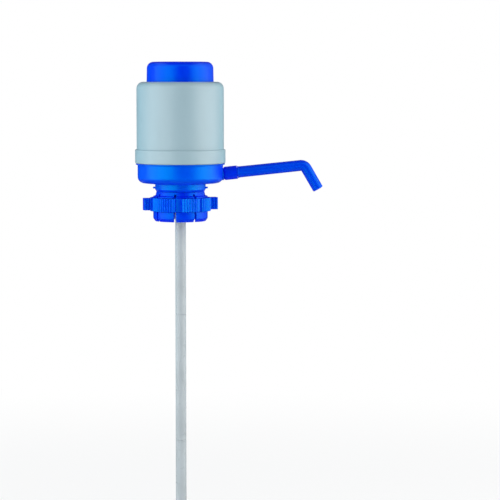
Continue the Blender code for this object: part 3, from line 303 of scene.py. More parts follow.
class Nodes:
    """Short ways to add shader nodes that read Object coordinates."""

    def __init__(self, name: str) -> None:
        """Start a material with its Principled shader.

        Args:
            name: The material's name.
        """
        self.material = bpy.data.materials.new(name)
        self.material.use_nodes = True
        self.tree = self.material.node_tree
        self.shader = self.tree.nodes["Principled BSDF"]
        self.place = self.tree.nodes.new("ShaderNodeTexCoord").outputs["Object"]

    def noise(self, size: float, detail: float = 2.0, stretch: Sequence[float] = (1, 1, 1)) -> Socket:
        """Add a noise pattern.

        Args:
            size: The size of its features, in millimetres.
            detail: Octaves of finer noise.
            stretch: Scale along each axis.

        Returns:
            The noise's value.
        """
        turn = self.tree.nodes.new("ShaderNodeMapping")
        turn.inputs["Scale"].default_value = stretch
        pattern = self.tree.nodes.new("ShaderNodeTexNoise")
        pattern.inputs["Scale"].default_value = 1 / (size * MM)
        pattern.inputs["Detail"].default_value = detail
        self.tree.links.new(self.place, turn.inputs["Vector"])
        self.tree.links.new(turn.outputs["Vector"], pattern.inputs["Vector"])
        return pattern.outputs["Fac"]

    def spread(self, value: Socket, low: float, high: float) -> Socket:
        """Map the useful part of a noise to a range.

        Args:
            value: The noise.
            low: The result where it is dark.
            high: The result where it is light.

        Returns:
            The mapped value.
        """
        node = self.tree.nodes.new("ShaderNodeMapRange")
        for name, number in (("From Min", NOISE_DARK), ("From Max", NOISE_LIGHT),
                             ("To Min", low), ("To Max", high)):
            node.inputs[name].default_value = number
        self.tree.links.new(value, node.inputs["Value"])
        return node.outputs["Result"]

    def between(self, value: Socket, dark: Colour, light: Colour) -> Socket:
        """Mix two colours by a value.

        Args:
            value: The share of the second colour.
            dark: The first colour.
            light: The second colour.

        Returns:
            The mixed colour.
        """
        node = self.tree.nodes.new("ShaderNodeMix")
        node.data_type = "RGBA"
        node.inputs[6].default_value = (*dark, 1)
        node.inputs[7].default_value = (*light, 1)
        self.tree.links.new(value, node.inputs[0])
        return node.outputs[2]

    def bump(self, value: Socket, depth: float,
             under: Socket | None = None) -> Socket:
        """Turn a pattern into small bumps.

        Args:
            value: The pattern.
            depth: Its height, in millimetres.
            under: The bumps that it lies on.

        Returns:
            The bumped normal.
        """
        node = self.tree.nodes.new("ShaderNodeBump")
        node.inputs["Distance"].default_value = depth * MM
        self.tree.links.new(value, node.inputs["Height"])
        if under:
            self.tree.links.new(under, node.inputs["Normal"])
        return node.outputs["Normal"]

    def wire(self, socket: str, value: Socket) -> None:
        """Link a value to one of the shader's sockets."""
        self.tree.links.new(value, self.shader.inputs[socket])

    def uniform(self, **values: float | tuple[float, ...]) -> None:
        """Set values that are the same all over on the shader's own sockets."""
        for name, value in values.items():
            self.shader.inputs[name.replace("_", " ")].default_value = value


def scaled(colour: Colour, factor: float) -> Colour:
    """Return a colour made lighter or darker by a factor."""
    return tuple(min(1.0, channel * factor) for channel in colour)


@dataclass(frozen=True)
class MouldedPlastic:
    """Injection-moulded plastic: faint flow mottling, a fine grain and slightly uneven gloss."""

    name: str
    colour: Colour
    roughness: float = 0.34
    mottling: float = 0.03
    grain: float = 0.004
    grain_size: float = 0.55
    sheen_colour: Colour = (1.0, 1.0, 1.0)
    gloss: float = 0.5
    density: float = 1.5
    cloudy: float = 0.0

    def build(self) -> Material:
        """Return the finish as a material."""
        nodes = Nodes(self.name)
        flow = nodes.noise(22.0, 3.0, (1, 1, 0.45))
        dark, light = (scaled(self.colour, 1 + side * self.mottling) for side in (-1, 1))
        nodes.wire("Base Color", nodes.between(nodes.spread(flow, 0, 1), dark, light))
        patches = nodes.noise(6.0, 4.0)
        nodes.wire("Roughness", nodes.spread(patches, self.roughness - 0.04, self.roughness + 0.05))
        ripple = nodes.bump(nodes.noise(9.0, 1.0), self.grain)
        nodes.wire("Normal", nodes.bump(nodes.noise(self.grain_size, 2.0), self.grain, ripple))
        nodes.uniform(Specular_IOR_Level=self.gloss, Specular_Tint=(*self.sheen_colour, 1), IOR=self.density,
                      Subsurface_Weight=self.cloudy)
        if self.cloudy:
            nodes.uniform(Subsurface_Radius=(1, 1, 1), Subsurface_Scale=0.003)
        return nodes.material


@dataclass(frozen=True)
class MouldedRubber:
    """Soft rubber: dull, with a fine pebble and paler dusty patches."""

    name: str
    colour: Colour
    roughness: float = 0.7
    dust: float = 0.35

    def build(self) -> Material:
        """Return the finish as a material."""
        nodes = Nodes(self.name)
        dusty = nodes.spread(nodes.noise(5.0, 4.0), 0, 1)
        nodes.wire("Base Color", nodes.between(dusty, self.colour, scaled(self.colour, 1 + self.dust)))
        patches = nodes.noise(3.0, 3.0)
        nodes.wire("Roughness", nodes.spread(patches, self.roughness - 0.08, self.roughness + 0.08))
        nodes.wire("Normal", nodes.bump(nodes.noise(0.35, 2.0), 0.02))
        nodes.uniform(Specular_IOR_Level=0.35)
        return nodes.material


@dataclass(frozen=True)
class DrawnSteel:
    """Bright drawn wire with fine streaks."""

    name: str
    colour: Colour
    roughness: float = 0.28

    def build(self) -> Material:
        """Return the finish as a material."""
        nodes = Nodes(self.name)
        streaks = nodes.noise(0.6, 4.0, (1, 1, 8))
        drawn = nodes.spread(streaks, 0, 1)
        nodes.wire("Base Color", nodes.between(drawn, scaled(self.colour, 0.85), self.colour))
        nodes.wire("Roughness", nodes.spread(streaks, self.roughness - 0.08, self.roughness + 0.1))
        nodes.wire("Normal", nodes.bump(streaks, 0.006))
        nodes.uniform(Metallic=1.0)
        return nodes.material


AZURE_GLOSS: Colour = (0.0, 0.95, 1.0)
CAP_BLUE: Colour = (0.000, 0.010, 0.80)
BOWL_BLUE: Colour = (0.000, 0.028, 0.80)
RING_BLUE: Colour = (0.000, 0.003, 0.78)
SPOUT_BLUE: Colour = (0.000, 0.024, 0.74)
NUT_BLUE: Colour = (0.000, 0.003, 0.78)

CAP_FINISH = MouldedPlastic("cap_blue", CAP_BLUE, sheen_colour=AZURE_GLOSS, gloss=1.0)
BOWL_FINISH = MouldedPlastic("bowl_blue", BOWL_BLUE, sheen_colour=AZURE_GLOSS, gloss=1.0, density=1.7)
COLLET_FINISH = MouldedPlastic("collet_blue", RING_BLUE, sheen_colour=AZURE_GLOSS, gloss=1.0)
RING_FINISH = MouldedPlastic("ring_blue", RING_BLUE, roughness=0.30, sheen_colour=AZURE_GLOSS, gloss=1.0,
                             density=1.7)
SPOUT_FINISH = MouldedPlastic("spout_blue", SPOUT_BLUE, sheen_colour=AZURE_GLOSS, gloss=0.8)
NUT_FINISH = MouldedPlastic("nut_blue", NUT_BLUE, roughness=0.38, sheen_colour=AZURE_GLOSS, gloss=0.5)
HOUSING_FINISH = MouldedPlastic("housing_grey", (0.30, 0.43, 0.49), roughness=0.37, mottling=0.02, gloss=0.9)
TUBE_FINISH = MouldedPlastic("tube_milky", (0.42, 0.47, 0.50), roughness=0.3, mottling=0.08, cloudy=0.15)
INNER_FINISH = MouldedPlastic("inner_white", (0.70, 0.72, 0.72), roughness=0.45, mottling=0.03)
BELLOWS_FINISH = MouldedRubber("bellows_black", (0.022, 0.022, 0.024))
SEAL_FINISH = MouldedRubber("seal_black", (0.03, 0.03, 0.032), roughness=0.6)
GASKET_FINISH = MouldedRubber("gasket_pale", (0.48, 0.49, 0.48), roughness=0.75, dust=0.12)
SPRING_FINISH = DrawnSteel("spring_bright", (0.62, 0.62, 0.63))

Finish = MouldedPlastic | MouldedRubber | DrawnSteel


# ---- Sub-assemblies


@dataclass
class SubAssembly:
    """A group of pieces with one job."""

    segments: int = ROUND_SEGMENTS

    def dress(self, name: str, bm: BMesh, finish: Finish, body: CadBody, slot: Slot,
              stands_for: Sequence[str]) -> bpy.types.Object:
        """Turn a mesh into a finished piece that rides on its body.

        Args:
            name: The piece's name.
            bm: Its mesh in its place, in millimetres. It is freed.
            finish: Its finish.
            body: The CAD body that carries it.
            slot: The record's material slot. Not used.
            stands_for: The CAD nodes that it replaces.

        Returns:
            The piece.
        """
        bmesh.ops.scale(bm, vec=(MM, MM, MM), verts=bm.verts[:])
        piece = holder(bm, name)
        mesh = piece.data
        mesh.shade_smooth()
        mesh.set_sharp_from_angle(angle=math.radians(SHARP_DEG))
        mesh.materials.append(finish.build())
        even = piece.modifiers.new("even_shading", "WEIGHTED_NORMAL")
        even.keep_sharp = True
        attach(piece, body.value)
        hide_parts(*stands_for)
        LOG.info("%s: %d faces on %s", name, len(mesh.polygons), body.value)
        return piece


@dataclass
class PushButton(SubAssembly):
    """Round cap with a rolled top edge, which slides in the housing."""

    radius: float = 42.0
    top_radius: float = 41.5
    top: float = 163.8
    crown: float = 0.5
    top_round: float = 8.0
    wall: float = 2.2
    mouth: float = 138.6
    flange_radius: float = 45.0
    flange_top: float = 125.2
    flange_bottom: float = 122.5
    rib_radius: float = 16.0
    rib_inner: float = 13.8
    rib_bottom: float = 152.8
    edge: float = 0.4

    def build(self) -> None:
        """Build and dress the cap."""
        inner = self.radius - self.wall
        under = self.top - self.wall - self.crown
        cap = turned([
            (0, self.top),
            (self.top_radius - self.top_round * 1.6, self.top - self.crown / 5, 40.0),
            (self.top_radius, self.top - self.crown, self.top_round),
            (self.radius, self.mouth),
            (self.radius, self.flange_top, self.edge),
            (self.flange_radius, self.flange_top, self.edge),
            (self.flange_radius, self.flange_bottom, self.edge),
            (inner, self.flange_bottom, self.edge),
            (inner, self.mouth),
            (self.top_radius - self.wall, under, self.top_round - self.wall),
            (self.rib_radius, under, self.edge),
            (self.rib_radius, self.rib_bottom, self.edge),
            (self.rib_inner, self.rib_bottom, self.edge),
            (self.rib_inner, under, self.edge),
            (0, under),
        ], self.segments)
        self.dress("push_cap_skin", cap, CAP_FINISH, CadBody.BUTTON, Slot.CAP, ["push_cap"])


@dataclass
class Housing(SubAssembly):
    """Tall pale cover with a wider band at its foot and a guide sleeve at its mouth."""

    radius: float = 54.8
    top: float = 138.6
    top_round: float = 8.4
    wall: float = 2.2
    band_radius: float = 56.8
    band_top: float = 53.9
    bottom: float = 36.5
    band_round: float = 1.6
    step_round: float = 0.8
    root_round: float = 0.5
    guide_inner: float = 42.5
    guide_outer: float = 44.5
    guide_bottom: float = 125.5
    mouth_round: float = 0.7
    edge: float = 0.3
    groove: float = 0.7
    groove_low: float = 39.4
    groove_high: float = 41.6

    def build(self) -> None:
        """Build and dress the housing."""
        inner = self.radius - self.wall
        band_inner = self.band_radius - self.wall
        under = self.top - self.wall
        cover = turned([
            (self.radius, self.top, self.top_round),
            (self.radius, self.band_top, self.root_round),
            (self.band_radius, self.band_top, self.step_round),
            (self.band_radius, self.bottom, self.band_round),
            (band_inner, self.bottom, self.edge),
            (band_inner, self.groove_low),
            (band_inner + self.groove, self.groove_low),
            (band_inner + self.groove, self.groove_high),
            (band_inner, self.groove_high),
            (band_inner, self.band_top - self.wall, self.edge),
            (inner, self.band_top - self.wall, self.edge),
            (inner, under, self.top_round - self.wall),
            (self.guide_outer, under, self.edge),
            (self.guide_outer, self.guide_bottom, self.edge),
            (self.guide_inner, self.guide_bottom, self.edge),
            (self.guide_inner, self.top, self.mouth_round),
        ], self.segments)
        self.dress("housing_skin", cover, HOUSING_FINISH, CadBody.BASE, Slot.HOUSING, ["housing"])


@dataclass
class OutletAxis:
    """The spout's axis: it leaves the pump's axis and rises a little."""

    height: float = 17.8
    rise_deg: float = 6.0

    def place(self) -> Matrix:
        """Return the matrix from the axis's own frame, where it is Z, to the pump's."""
        lift = Matrix.Translation((0, 0, self.height))
        return lift @ Matrix.Rotation(math.radians(90 - self.rise_deg), 4, "Y")

    def turned(self, corners: Sequence[Corner], segments: int = SMALL_SEGMENTS) -> BMesh:
        """Spin an outline about this axis into a closed body.

        Args:
            corners: Corners of (radius, station) or (radius, station, fillet).
            segments: Facets round the axis.

        Returns:
            The closed body.
        """
        bm = turned(corners, segments)
        bmesh.ops.transform(bm, matrix=self.place(), verts=bm.verts[:])
        return bm


@dataclass
class BaseBowl(SubAssembly):
    """Bowl with its lip, neck, ears, riser and outlet channel, all one moulding."""

    outlet: OutletAxis = field(default_factory=OutletAxis)
    radius: float = 53.7
    inner_radius: float = 51.3
    lip_radius: float = 56.0
    lip_top: float = 36.2
    lip_bottom: float = 34.9
    lip_round: float = 0.5
    corner_height: float = 12.5
    corner_round: float = 7.8
    inner_round: float = 5.4
    floor_bottom: float = 10.5
    floor_top: float = 13.5
    neck_radius: float = 31.8
    neck_inner: float = 28.6
    neck_foot: float = 4.0
    neck_bottom: float = 1.4
    rim_radius: float = 30.2
    spigot_radius: float = 54.3
    spigot_inner: float = 52.1
    spigot_top: float = 44.0
    ledge_radius: float = 48.8
    ledge_height: float = 31.4
    ledge_slope: float = 3.6
    hold_bead: float = 1.1
    hold_bead_bottom: float = 41.5
    hold_bead_top: float = 42.9
    snap_bead: float = 0.7
    bead_low: float = 39.7
    bead_high: float = 41.3
    groove_low: float = 5.5
    groove_high: float = 7.7
    rib_outer: float = 24.5
    rib_inner: float = 21.0
    rib_bottom: float = 2.8
    riser_radius: float = 10.0
    riser_top: float = 26.5
    riser_bore: float = 4.9
    riser_bore_top: float = 23.0
    socket_radius: float = 7.0
    socket_top: float = 6.0
    socket_bottom: float = -12.0
    seal_height: float = -4.0
    seal_depth: float = 8.4
    seal_half: float = 0.85
    channel_radius: float = 6.9
    channel_bore: float = 4.5
    boss_radius: float = 8.2
    boss_start: float = 50.7
    boss_end: float = 54.6
    nose_end: float = 64.0
    air_hole_radius: float = 2.5
    air_hole_circle: float = 15.0
    air_holes: int = 4
    ear_reach: float = 34.5
    ear_half_width: float = 4.0
    ear_low: float = 4.9
    ear_thickness: float = 2.0
    ear_corner: float = 1.2
    ear_root: float = 30.2
    edge: float = 0.4
    overrun: float = 2.0

    def shell(self) -> BMesh:
        """Return the turned part of the bowl."""
        return turned([
            (0, self.riser_top),
            (self.riser_radius, self.riser_top, self.edge),
            (self.riser_radius, self.floor_top, self.edge),
            (self.inner_radius, self.floor_top, self.inner_round),
            (self.inner_radius, self.ledge_height - self.ledge_slope),
            (self.ledge_radius, self.ledge_height, self.edge),
            (self.spigot_inner, self.ledge_height),
            (self.spigot_inner, self.hold_bead_bottom),
            (self.spigot_inner - self.hold_bead, self.hold_bead_bottom),
            (self.spigot_inner, self.hold_bead_top),
            (self.spigot_inner, self.spigot_top, self.edge),
            (self.spigot_radius, self.spigot_top, self.edge),
            (self.spigot_radius, self.bead_high),
            (self.spigot_radius + self.snap_bead, self.bead_low),
            (self.spigot_radius, self.bead_low),
            (self.spigot_radius, self.lip_top),
            (self.lip_radius, self.lip_top, self.edge),
            (self.lip_radius, self.lip_bottom, self.lip_round),
            (self.radius, self.lip_bottom, self.edge),
            (self.radius, self.corner_height, self.corner_round),
            (self.neck_radius, self.floor_bottom, self.edge),
            (self.neck_radius, self.neck_foot, self.edge),
            (self.rim_radius, self.neck_bottom, self.edge),
            (self.neck_inner, self.neck_bottom, self.edge),
            (self.neck_inner, self.groove_low),
            (self.neck_inner + self.snap_bead, self.groove_low),
            (self.neck_inner + self.snap_bead, self.groove_high),
            (self.neck_inner, self.groove_high),
            (self.neck_inner, self.floor_bottom),
            (self.rib_outer, self.floor_bottom, self.edge),
            (self.rib_outer, self.rib_bottom, self.edge),
            (self.rib_inner, self.rib_bottom, self.edge),
            (self.rib_inner, self.floor_bottom, self.edge),
            (self.riser_radius, self.floor_bottom, self.edge),
            (self.riser_radius, self.socket_bottom, self.edge),
            (0, self.socket_bottom),
        ], self.segments)

    def channel(self) -> BMesh:
        """Return the outlet channel with its boss, on the outlet's axis."""
        return self.outlet.turned([
            (0, self.nose_end),
            (self.channel_radius, self.nose_end, self.edge),
            (self.channel_radius, self.boss_end),
            (self.boss_radius, self.boss_end, self.edge),
            (self.boss_radius, self.boss_start),
            (self.channel_radius, self.boss_start),
            (self.channel_radius, 0),
            (0, 0),
        ])

    def channel_hole(self) -> BMesh:
        """Return the bore of the outlet channel, as a tool."""
        end = self.nose_end + self.overrun
        return self.outlet.turned([(0, end), (self.channel_bore, end), (self.channel_bore, 0), (0, 0)])

    def socket(self) -> BMesh:
        """Return the tube's socket with the seal's groove and the riser's bore, as a tool."""
        return turned([
            (0, self.riser_bore_top),
            (self.riser_bore, self.riser_bore_top),
            (self.riser_bore, self.socket_top),
            (self.socket_radius, self.socket_top),
            (self.socket_radius, self.seal_height + self.seal_half),
            (self.seal_depth, self.seal_height + self.seal_half),
            (self.seal_depth, self.seal_height - self.seal_half),
            (self.socket_radius, self.seal_height - self.seal_half),
            (self.socket_radius, self.socket_bottom - self.overrun),
            (0, self.socket_bottom - self.overrun),
        ], SMALL_SEGMENTS)

    def ears(self) -> BMesh:
        """Return the two small ears of the neck."""
        half = self.ear_half_width
        plan = outline_face([(self.ear_root, -half), (self.ear_reach, -half, self.ear_corner),
                             (self.ear_reach, half, self.ear_corner), (self.ear_root, half)],
                            Matrix.Translation((0, 0, self.ear_low)))
        return around(raised(plan, self.ear_thickness, self.edge), 2)

    def floor_holes(self) -> BMesh:
        """Return the air holes of the floor, as a tool."""
        bm = turned([
            (0, self.floor_top + self.overrun),
            (self.air_hole_radius, self.floor_top + self.overrun),
            (self.air_hole_radius, self.floor_bottom - self.overrun),
            (0, self.floor_bottom - self.overrun),
        ], HOLE_SEGMENTS)
        bmesh.ops.translate(bm, verts=bm.verts[:], vec=(self.air_hole_circle, 0, 0))
        return around(bm, self.air_holes, 180 / self.air_holes)

    def build(self) -> None:
        """Build and dress the bowl."""
        bowl = self.shell()
        for form in (self.channel(), self.ears()):
            bowl = combined(bowl, form, Joining.ADD)
        for tool in (self.socket(), self.channel_hole(), self.floor_holes()):
            bowl = combined(bowl, tool, Joining.CUT)
        self.dress("base_bowl_skin", bowl, BOWL_FINISH, CadBody.BASE, Slot.BOWL, ["base_bowl"])


@dataclass
class ColletSleeve(SubAssembly):
    """Slotted sleeve whose eight fingers grip the bottle's neck."""

    segments: int = 192
    fingers: int = 8
    finger_turn_deg: float = -55.0
    slot_width: float = 2.8
    slot_top: float = -1.3
    collar_inner: float = 26.5
    collar_radius: float = 28.3
    collar_top: float = 9.0
    snap_bead: float = 0.7
    bead_low: float = 5.8
    bead_high: float = 7.4
    rim_radius: float = 30.2
    rim_top: float = 1.1
    flare_radius: float = 31.3
    flare_top: float = -3.7
    flare_bottom: float = -4.6
    radius: float = 34.3
    groove_radius: float = 33.0
    groove_top: float = -6.0
    groove_bottom: float = -23.6
    bottom: float = -36.0
    taper_height: float = -32.2
    taper_round: float = 3.0
    bottom_radius: float = 31.7
    inner_radius: float = 30.8
    grip_radius: float = 27.8
    grip_ribs: tuple[float, ...] = (-29.88, -17.28)
    grip_half: float = 1.3
    lead_in: float = 1.4
    land_bottom: float = -6.4
    shoulder: float = 0.6
    edge: float = 0.3
    slot_edge: float = 0.25
    overrun: float = 2.0

    def profile(self) -> list[Corner]:
        """Return the sleeve's outline."""
        corners: list[Corner] = [
            (self.collar_inner, self.collar_top, self.edge),
            (self.collar_radius, self.collar_top, self.edge),
            (self.collar_radius, self.bead_high),
            (self.collar_radius + self.snap_bead, self.bead_low),
            (self.collar_radius, self.bead_low),
            (self.collar_radius, self.rim_top),
            (self.rim_radius, self.rim_top, self.edge),
            (self.flare_radius, self.flare_top, 0.6),
            (self.radius, self.flare_bottom, 0.3),
            (self.radius, self.groove_top, self.edge),
            (self.groove_radius, self.groove_top),
            (self.groove_radius, self.groove_bottom),
            (self.radius, self.groove_bottom, self.edge),
            (self.radius, self.taper_height, self.taper_round),
            (self.bottom_radius, self.bottom, self.edge),
            (self.inner_radius, self.bottom, 0.2),
        ]
        for middle in self.grip_ribs:
            corners += [
                (self.inner_radius, middle - self.grip_half - self.lead_in),
                (self.grip_radius, middle - self.grip_half, self.edge),
                (self.grip_radius, middle + self.grip_half, self.edge),
                (self.inner_radius, middle + self.grip_half),
            ]
        return corners + [
            (self.inner_radius, self.land_bottom - self.lead_in),
            (self.grip_radius, self.land_bottom, self.edge),
            (self.grip_radius, self.shoulder),
            (self.collar_inner, self.shoulder),
        ]

    def build(self) -> None:
        """Build and dress the sleeve."""
        half = self.slot_width / 2
        slots = around(block((self.grip_radius - self.overrun, -half, self.bottom - self.overrun),
                             (self.radius + self.overrun, half, self.slot_top)), self.fingers, 0.0)
        sleeve = combined(turned(self.profile(), self.segments), slots, Joining.CUT)
        pitch = math.tau / self.fingers

        def at_slot(edge: bmesh.types.BMEdge) -> bool:
            """Say whether an edge lies on a slot's side."""
            for vert in edge.verts:
                turn = math.atan2(vert.co.y, vert.co.x)
                turn -= round(turn / pitch) * pitch
                across = math.hypot(vert.co.x, vert.co.y) * math.sin(turn)
                if abs(abs(across) - half) > SLOT_TOLERANCE or vert.co.z > self.slot_top + SLOT_TOLERANCE / 2:
                    return False
            return True

        soften(sleeve, at_slot, self.slot_edge)
        bmesh.ops.rotate(sleeve, verts=sleeve.verts[:], cent=(0, 0, 0),
                         matrix=Matrix.Rotation(math.radians(self.finger_turn_deg), 3, "Z"))
        self.dress("collet_sleeve_skin", sleeve, COLLET_FINISH, CadBody.BASE, Slot.COLLET, ["collet_sleeve"])


@dataclass
class ClampRing(SubAssembly):
    """Ring with ribbed pads, smooth recesses between them, and two lugs to turn it by."""

    top: float = -6.3
    bottom: float = -23.3
    inner_radius: float = 33.4
    recess_radius: float = 35.0
    pad_radius: float = 37.4
    rib_rise: float = 0.9
    rib_pitch_deg: float = 5.0
    steps_per_rib: int = 8
    recess_deg: float = 11.0
    recess_places_deg: tuple[float, float] = (-17.2, 27.8)
    recess_blend_deg: float = 0.8
    rim: float = 0.6
    lug_turn_deg: float = 15.0
    lug_reach: float = 47.3
    lug_half_width: float = 6.0
    lug_low: float = 1.4
    lug_height: float = 15.2
    lug_root: float = 34.9
    lug_corner: float = 0.8
    lug_edge: float = 0.5
    lug_grooves: tuple[float, ...] = (40.5, 44.1)
    groove_half: float = 0.9
    groove_depth: float = 1.0

    def reach(self, angle_deg: float) -> float:
        """Return the ring's outer radius at an angle.

        Args:
            angle_deg: The angle about the pump's axis.

        Returns:
            The radius of the ribbed pad or the recess there.
        """
        front = self.lug_turn_deg - 90.0
        middles = [front + half + place for half in (0, 180) for place in self.recess_places_deg]
        away = min(abs((angle_deg - middle + 180) % 360 - 180) for middle in middles)
        share = min(1.0, max(0.0, (away - self.recess_deg / 2) / self.recess_blend_deg))
        wave = 0.5 - 0.5 * math.cos(math.tau * (angle_deg - self.lug_turn_deg) / self.rib_pitch_deg)
        pad = self.pad_radius + self.rib_rise * wave ** 1.5
        return self.recess_radius + (pad - self.recess_radius) * share * share * (3 - 2 * share)

    def hoop(self) -> BMesh:
        """Return the ring without its lugs."""
        bm = bmesh.new()
        count = round(360 / self.rib_pitch_deg) * self.steps_per_rib
        loop = bmesh.ops.create_circle(bm, segments=count, radius=1.0)["verts"]
        low, high = self.bottom, self.top
        rim, part, inside = self.rim, self.rim * 0.3, self.rim * 0.5
        levels = [(low, rim), (low + part, part), (low + rim, 0),
                  (high - rim, 0), (high - part, part), (high, rim),
                  (high, -1), (high - inside, -2), (low + inside, -2), (low, -1)]
        edges = bm.edges[:]
        for index, (height, drop) in enumerate(levels):
            if index:
                geometry = bmesh.ops.extrude_edge_only(bm, edges=edges)["geom"]
                loop = [item for item in geometry if isinstance(item, bmesh.types.BMVert)]
                edges = [item for item in geometry if isinstance(item, bmesh.types.BMEdge)]
            for vert in loop:
                angle = math.atan2(vert.co.y, vert.co.x)
                radius = self.reach(math.degrees(angle)) - drop
                if drop == -1:
                    radius = self.inner_radius + inside
                if drop == -2:
                    radius = self.inner_radius
                vert.co = Vector((radius * math.cos(angle), radius * math.sin(angle), height))
        bottom_edges = [edge for edge in bm.edges if len(edge.link_faces) == 1]
        bmesh.ops.bridge_loops(bm, edges=bottom_edges)
        return tidy(bm)

    def lug(self) -> BMesh:
        """Return one lug along +X, with upright grooves in both of its sides."""
        half = self.lug_half_width
        side: list[Corner] = [(self.lug_root, half)]
        for middle in self.lug_grooves:
            side += [(middle - self.groove_half, half, 0.15), (middle, half - self.groove_depth, 0.2),
                     (middle + self.groove_half, half, 0.15)]
        side.append((self.lug_reach, half, self.lug_corner))
        plan = side + [(corner[0], -corner[1], *corner[2:]) for corner in reversed(side)]
        bm = outline_face(plan, Matrix.Translation((0, 0, self.bottom + self.lug_low)))
        return raised(bm, self.lug_height, self.lug_edge)

    def build(self) -> None:
        """Build and dress the ring."""
        ring = combined(self.hoop(), around(self.lug(), 2, self.lug_turn_deg), Joining.ADD)
        self.dress("clamp_ring_skin", ring, RING_FINISH, CadBody.CLAMP, Slot.RING, ["clamp_ring"])


@dataclass
class Spout(SubAssembly):
    """Arm with a flange in the nut, a ridge outside it, an elbow and a bent tip."""

    outlet: OutletAxis = field(default_factory=OutletAxis)
    segments: int = 72
    flange_radius: float = 6.9
    flange_start: float = 66.2
    flange_end: float = 68.0
    neck_radius: float = 5.6
    ridge_radius: float = 7.6
    ridge_start: float = 72.3
    ridge_end: float = 73.9
    ridge_edge: float = 0.35
    root_radius: float = 7.1
    bend_radius: float = 6.9
    corner: float = 156.8
    elbow_radius: float = 7.6
    turn_deg: float = 66.0
    elbow_steps: int = 18
    tip_length: float = 34.9
    tip_radius: float = 6.75
    tip_edge: float = 1.1
    bore: float = 4.5
    tip_bore: float = 4.9

    def bent(self, point: Vector) -> Vector:
        """Move a point of the straight arm to its place in the elbow and the tip.

        Args:
            point: The point, with its station along Z.

        Returns:
            Its place in the outlet's frame.
        """
        turn = math.radians(self.turn_deg)
        start = self.corner - self.elbow_radius * math.tan(turn / 2)
        radius = self.elbow_radius
        if point.z <= start:
            return point
        angle = min((point.z - start) / radius, turn)
        centre = Vector((radius, 0, start))
        swung = centre + Matrix.Rotation(angle, 3, "Y") @ Vector((point.x - radius, point.y, 0))
        beyond = max(0.0, point.z - start - radius * turn)
        return swung + Matrix.Rotation(turn, 3, "Y") @ Vector((0, 0, beyond))

    def build(self) -> None:
        """Build and dress the spout."""
        turn = math.radians(self.turn_deg)
        reach = self.elbow_radius * math.tan(turn / 2)
        elbow_start = self.corner - reach
        elbow_end = elbow_start + self.elbow_radius * turn
        end = elbow_end + self.tip_length - reach
        arm = turned([
            (self.bore, self.flange_start, 0.3),
            (self.flange_radius, self.flange_start, 0.3),
            (self.flange_radius, self.flange_end, 0.3),
            (self.neck_radius, self.flange_end),
            (self.neck_radius, self.ridge_start),
            (self.ridge_radius, self.ridge_start, self.ridge_edge),
            (self.ridge_radius, self.ridge_end - 0.3, self.ridge_edge),
            (self.root_radius, self.ridge_end),
            (self.bend_radius, elbow_start),
            (self.bend_radius, elbow_end),
            (self.tip_radius, end, self.tip_edge),
            (self.tip_bore, end, 0.4),
            (self.bore, elbow_end),
            (self.bore, elbow_start),
        ], self.segments)
        for step in range(1, self.elbow_steps):
            station = elbow_start + (elbow_end - elbow_start) * step / self.elbow_steps
            bmesh.ops.bisect_plane(arm, geom=arm.verts[:] + arm.edges[:] + arm.faces[:], dist=MERGE,
                                   plane_co=(0, 0, station), plane_no=(0, 0, 1))
        for vert in arm.verts:
            vert.co = self.bent(vert.co)
        bmesh.ops.transform(arm, matrix=self.outlet.place(), verts=arm.verts[:])
        self.dress("spout_skin", tidy(arm), SPOUT_FINISH, CadBody.SPOUT, Slot.SPOUT, ["spout"])


@dataclass
class SpoutNut(SubAssembly):
    """Plain barrel that holds the arm's flange on the outlet nose."""

    outlet: OutletAxis = field(default_factory=OutletAxis)
    segments: int = 96
    radius: float = 8.45
    inner_radius: float = 7.2
    hole_radius: float = 6.0
    start: float = 54.9
    shoulder: float = 68.3
    end: float = 72.0
    chamfer: float = 1.4
    edge: float = 0.5

    def build(self) -> None:
        """Build and dress the nut."""
        nut = self.outlet.turned([
            (self.inner_radius, self.start, 0.2),
            (self.radius - self.chamfer, self.start),
            (self.radius, self.start + self.chamfer, 0.8),
            (self.radius, self.end, self.edge),
            (self.hole_radius, self.end, 0.2),
            (self.hole_radius, self.shoulder),
            (self.inner_radius, self.shoulder),
        ], self.segments)
        self.dress("spout_nut_skin", nut, NUT_FINISH, CadBody.NUT, Slot.SPOUT, ["spout_nut"])


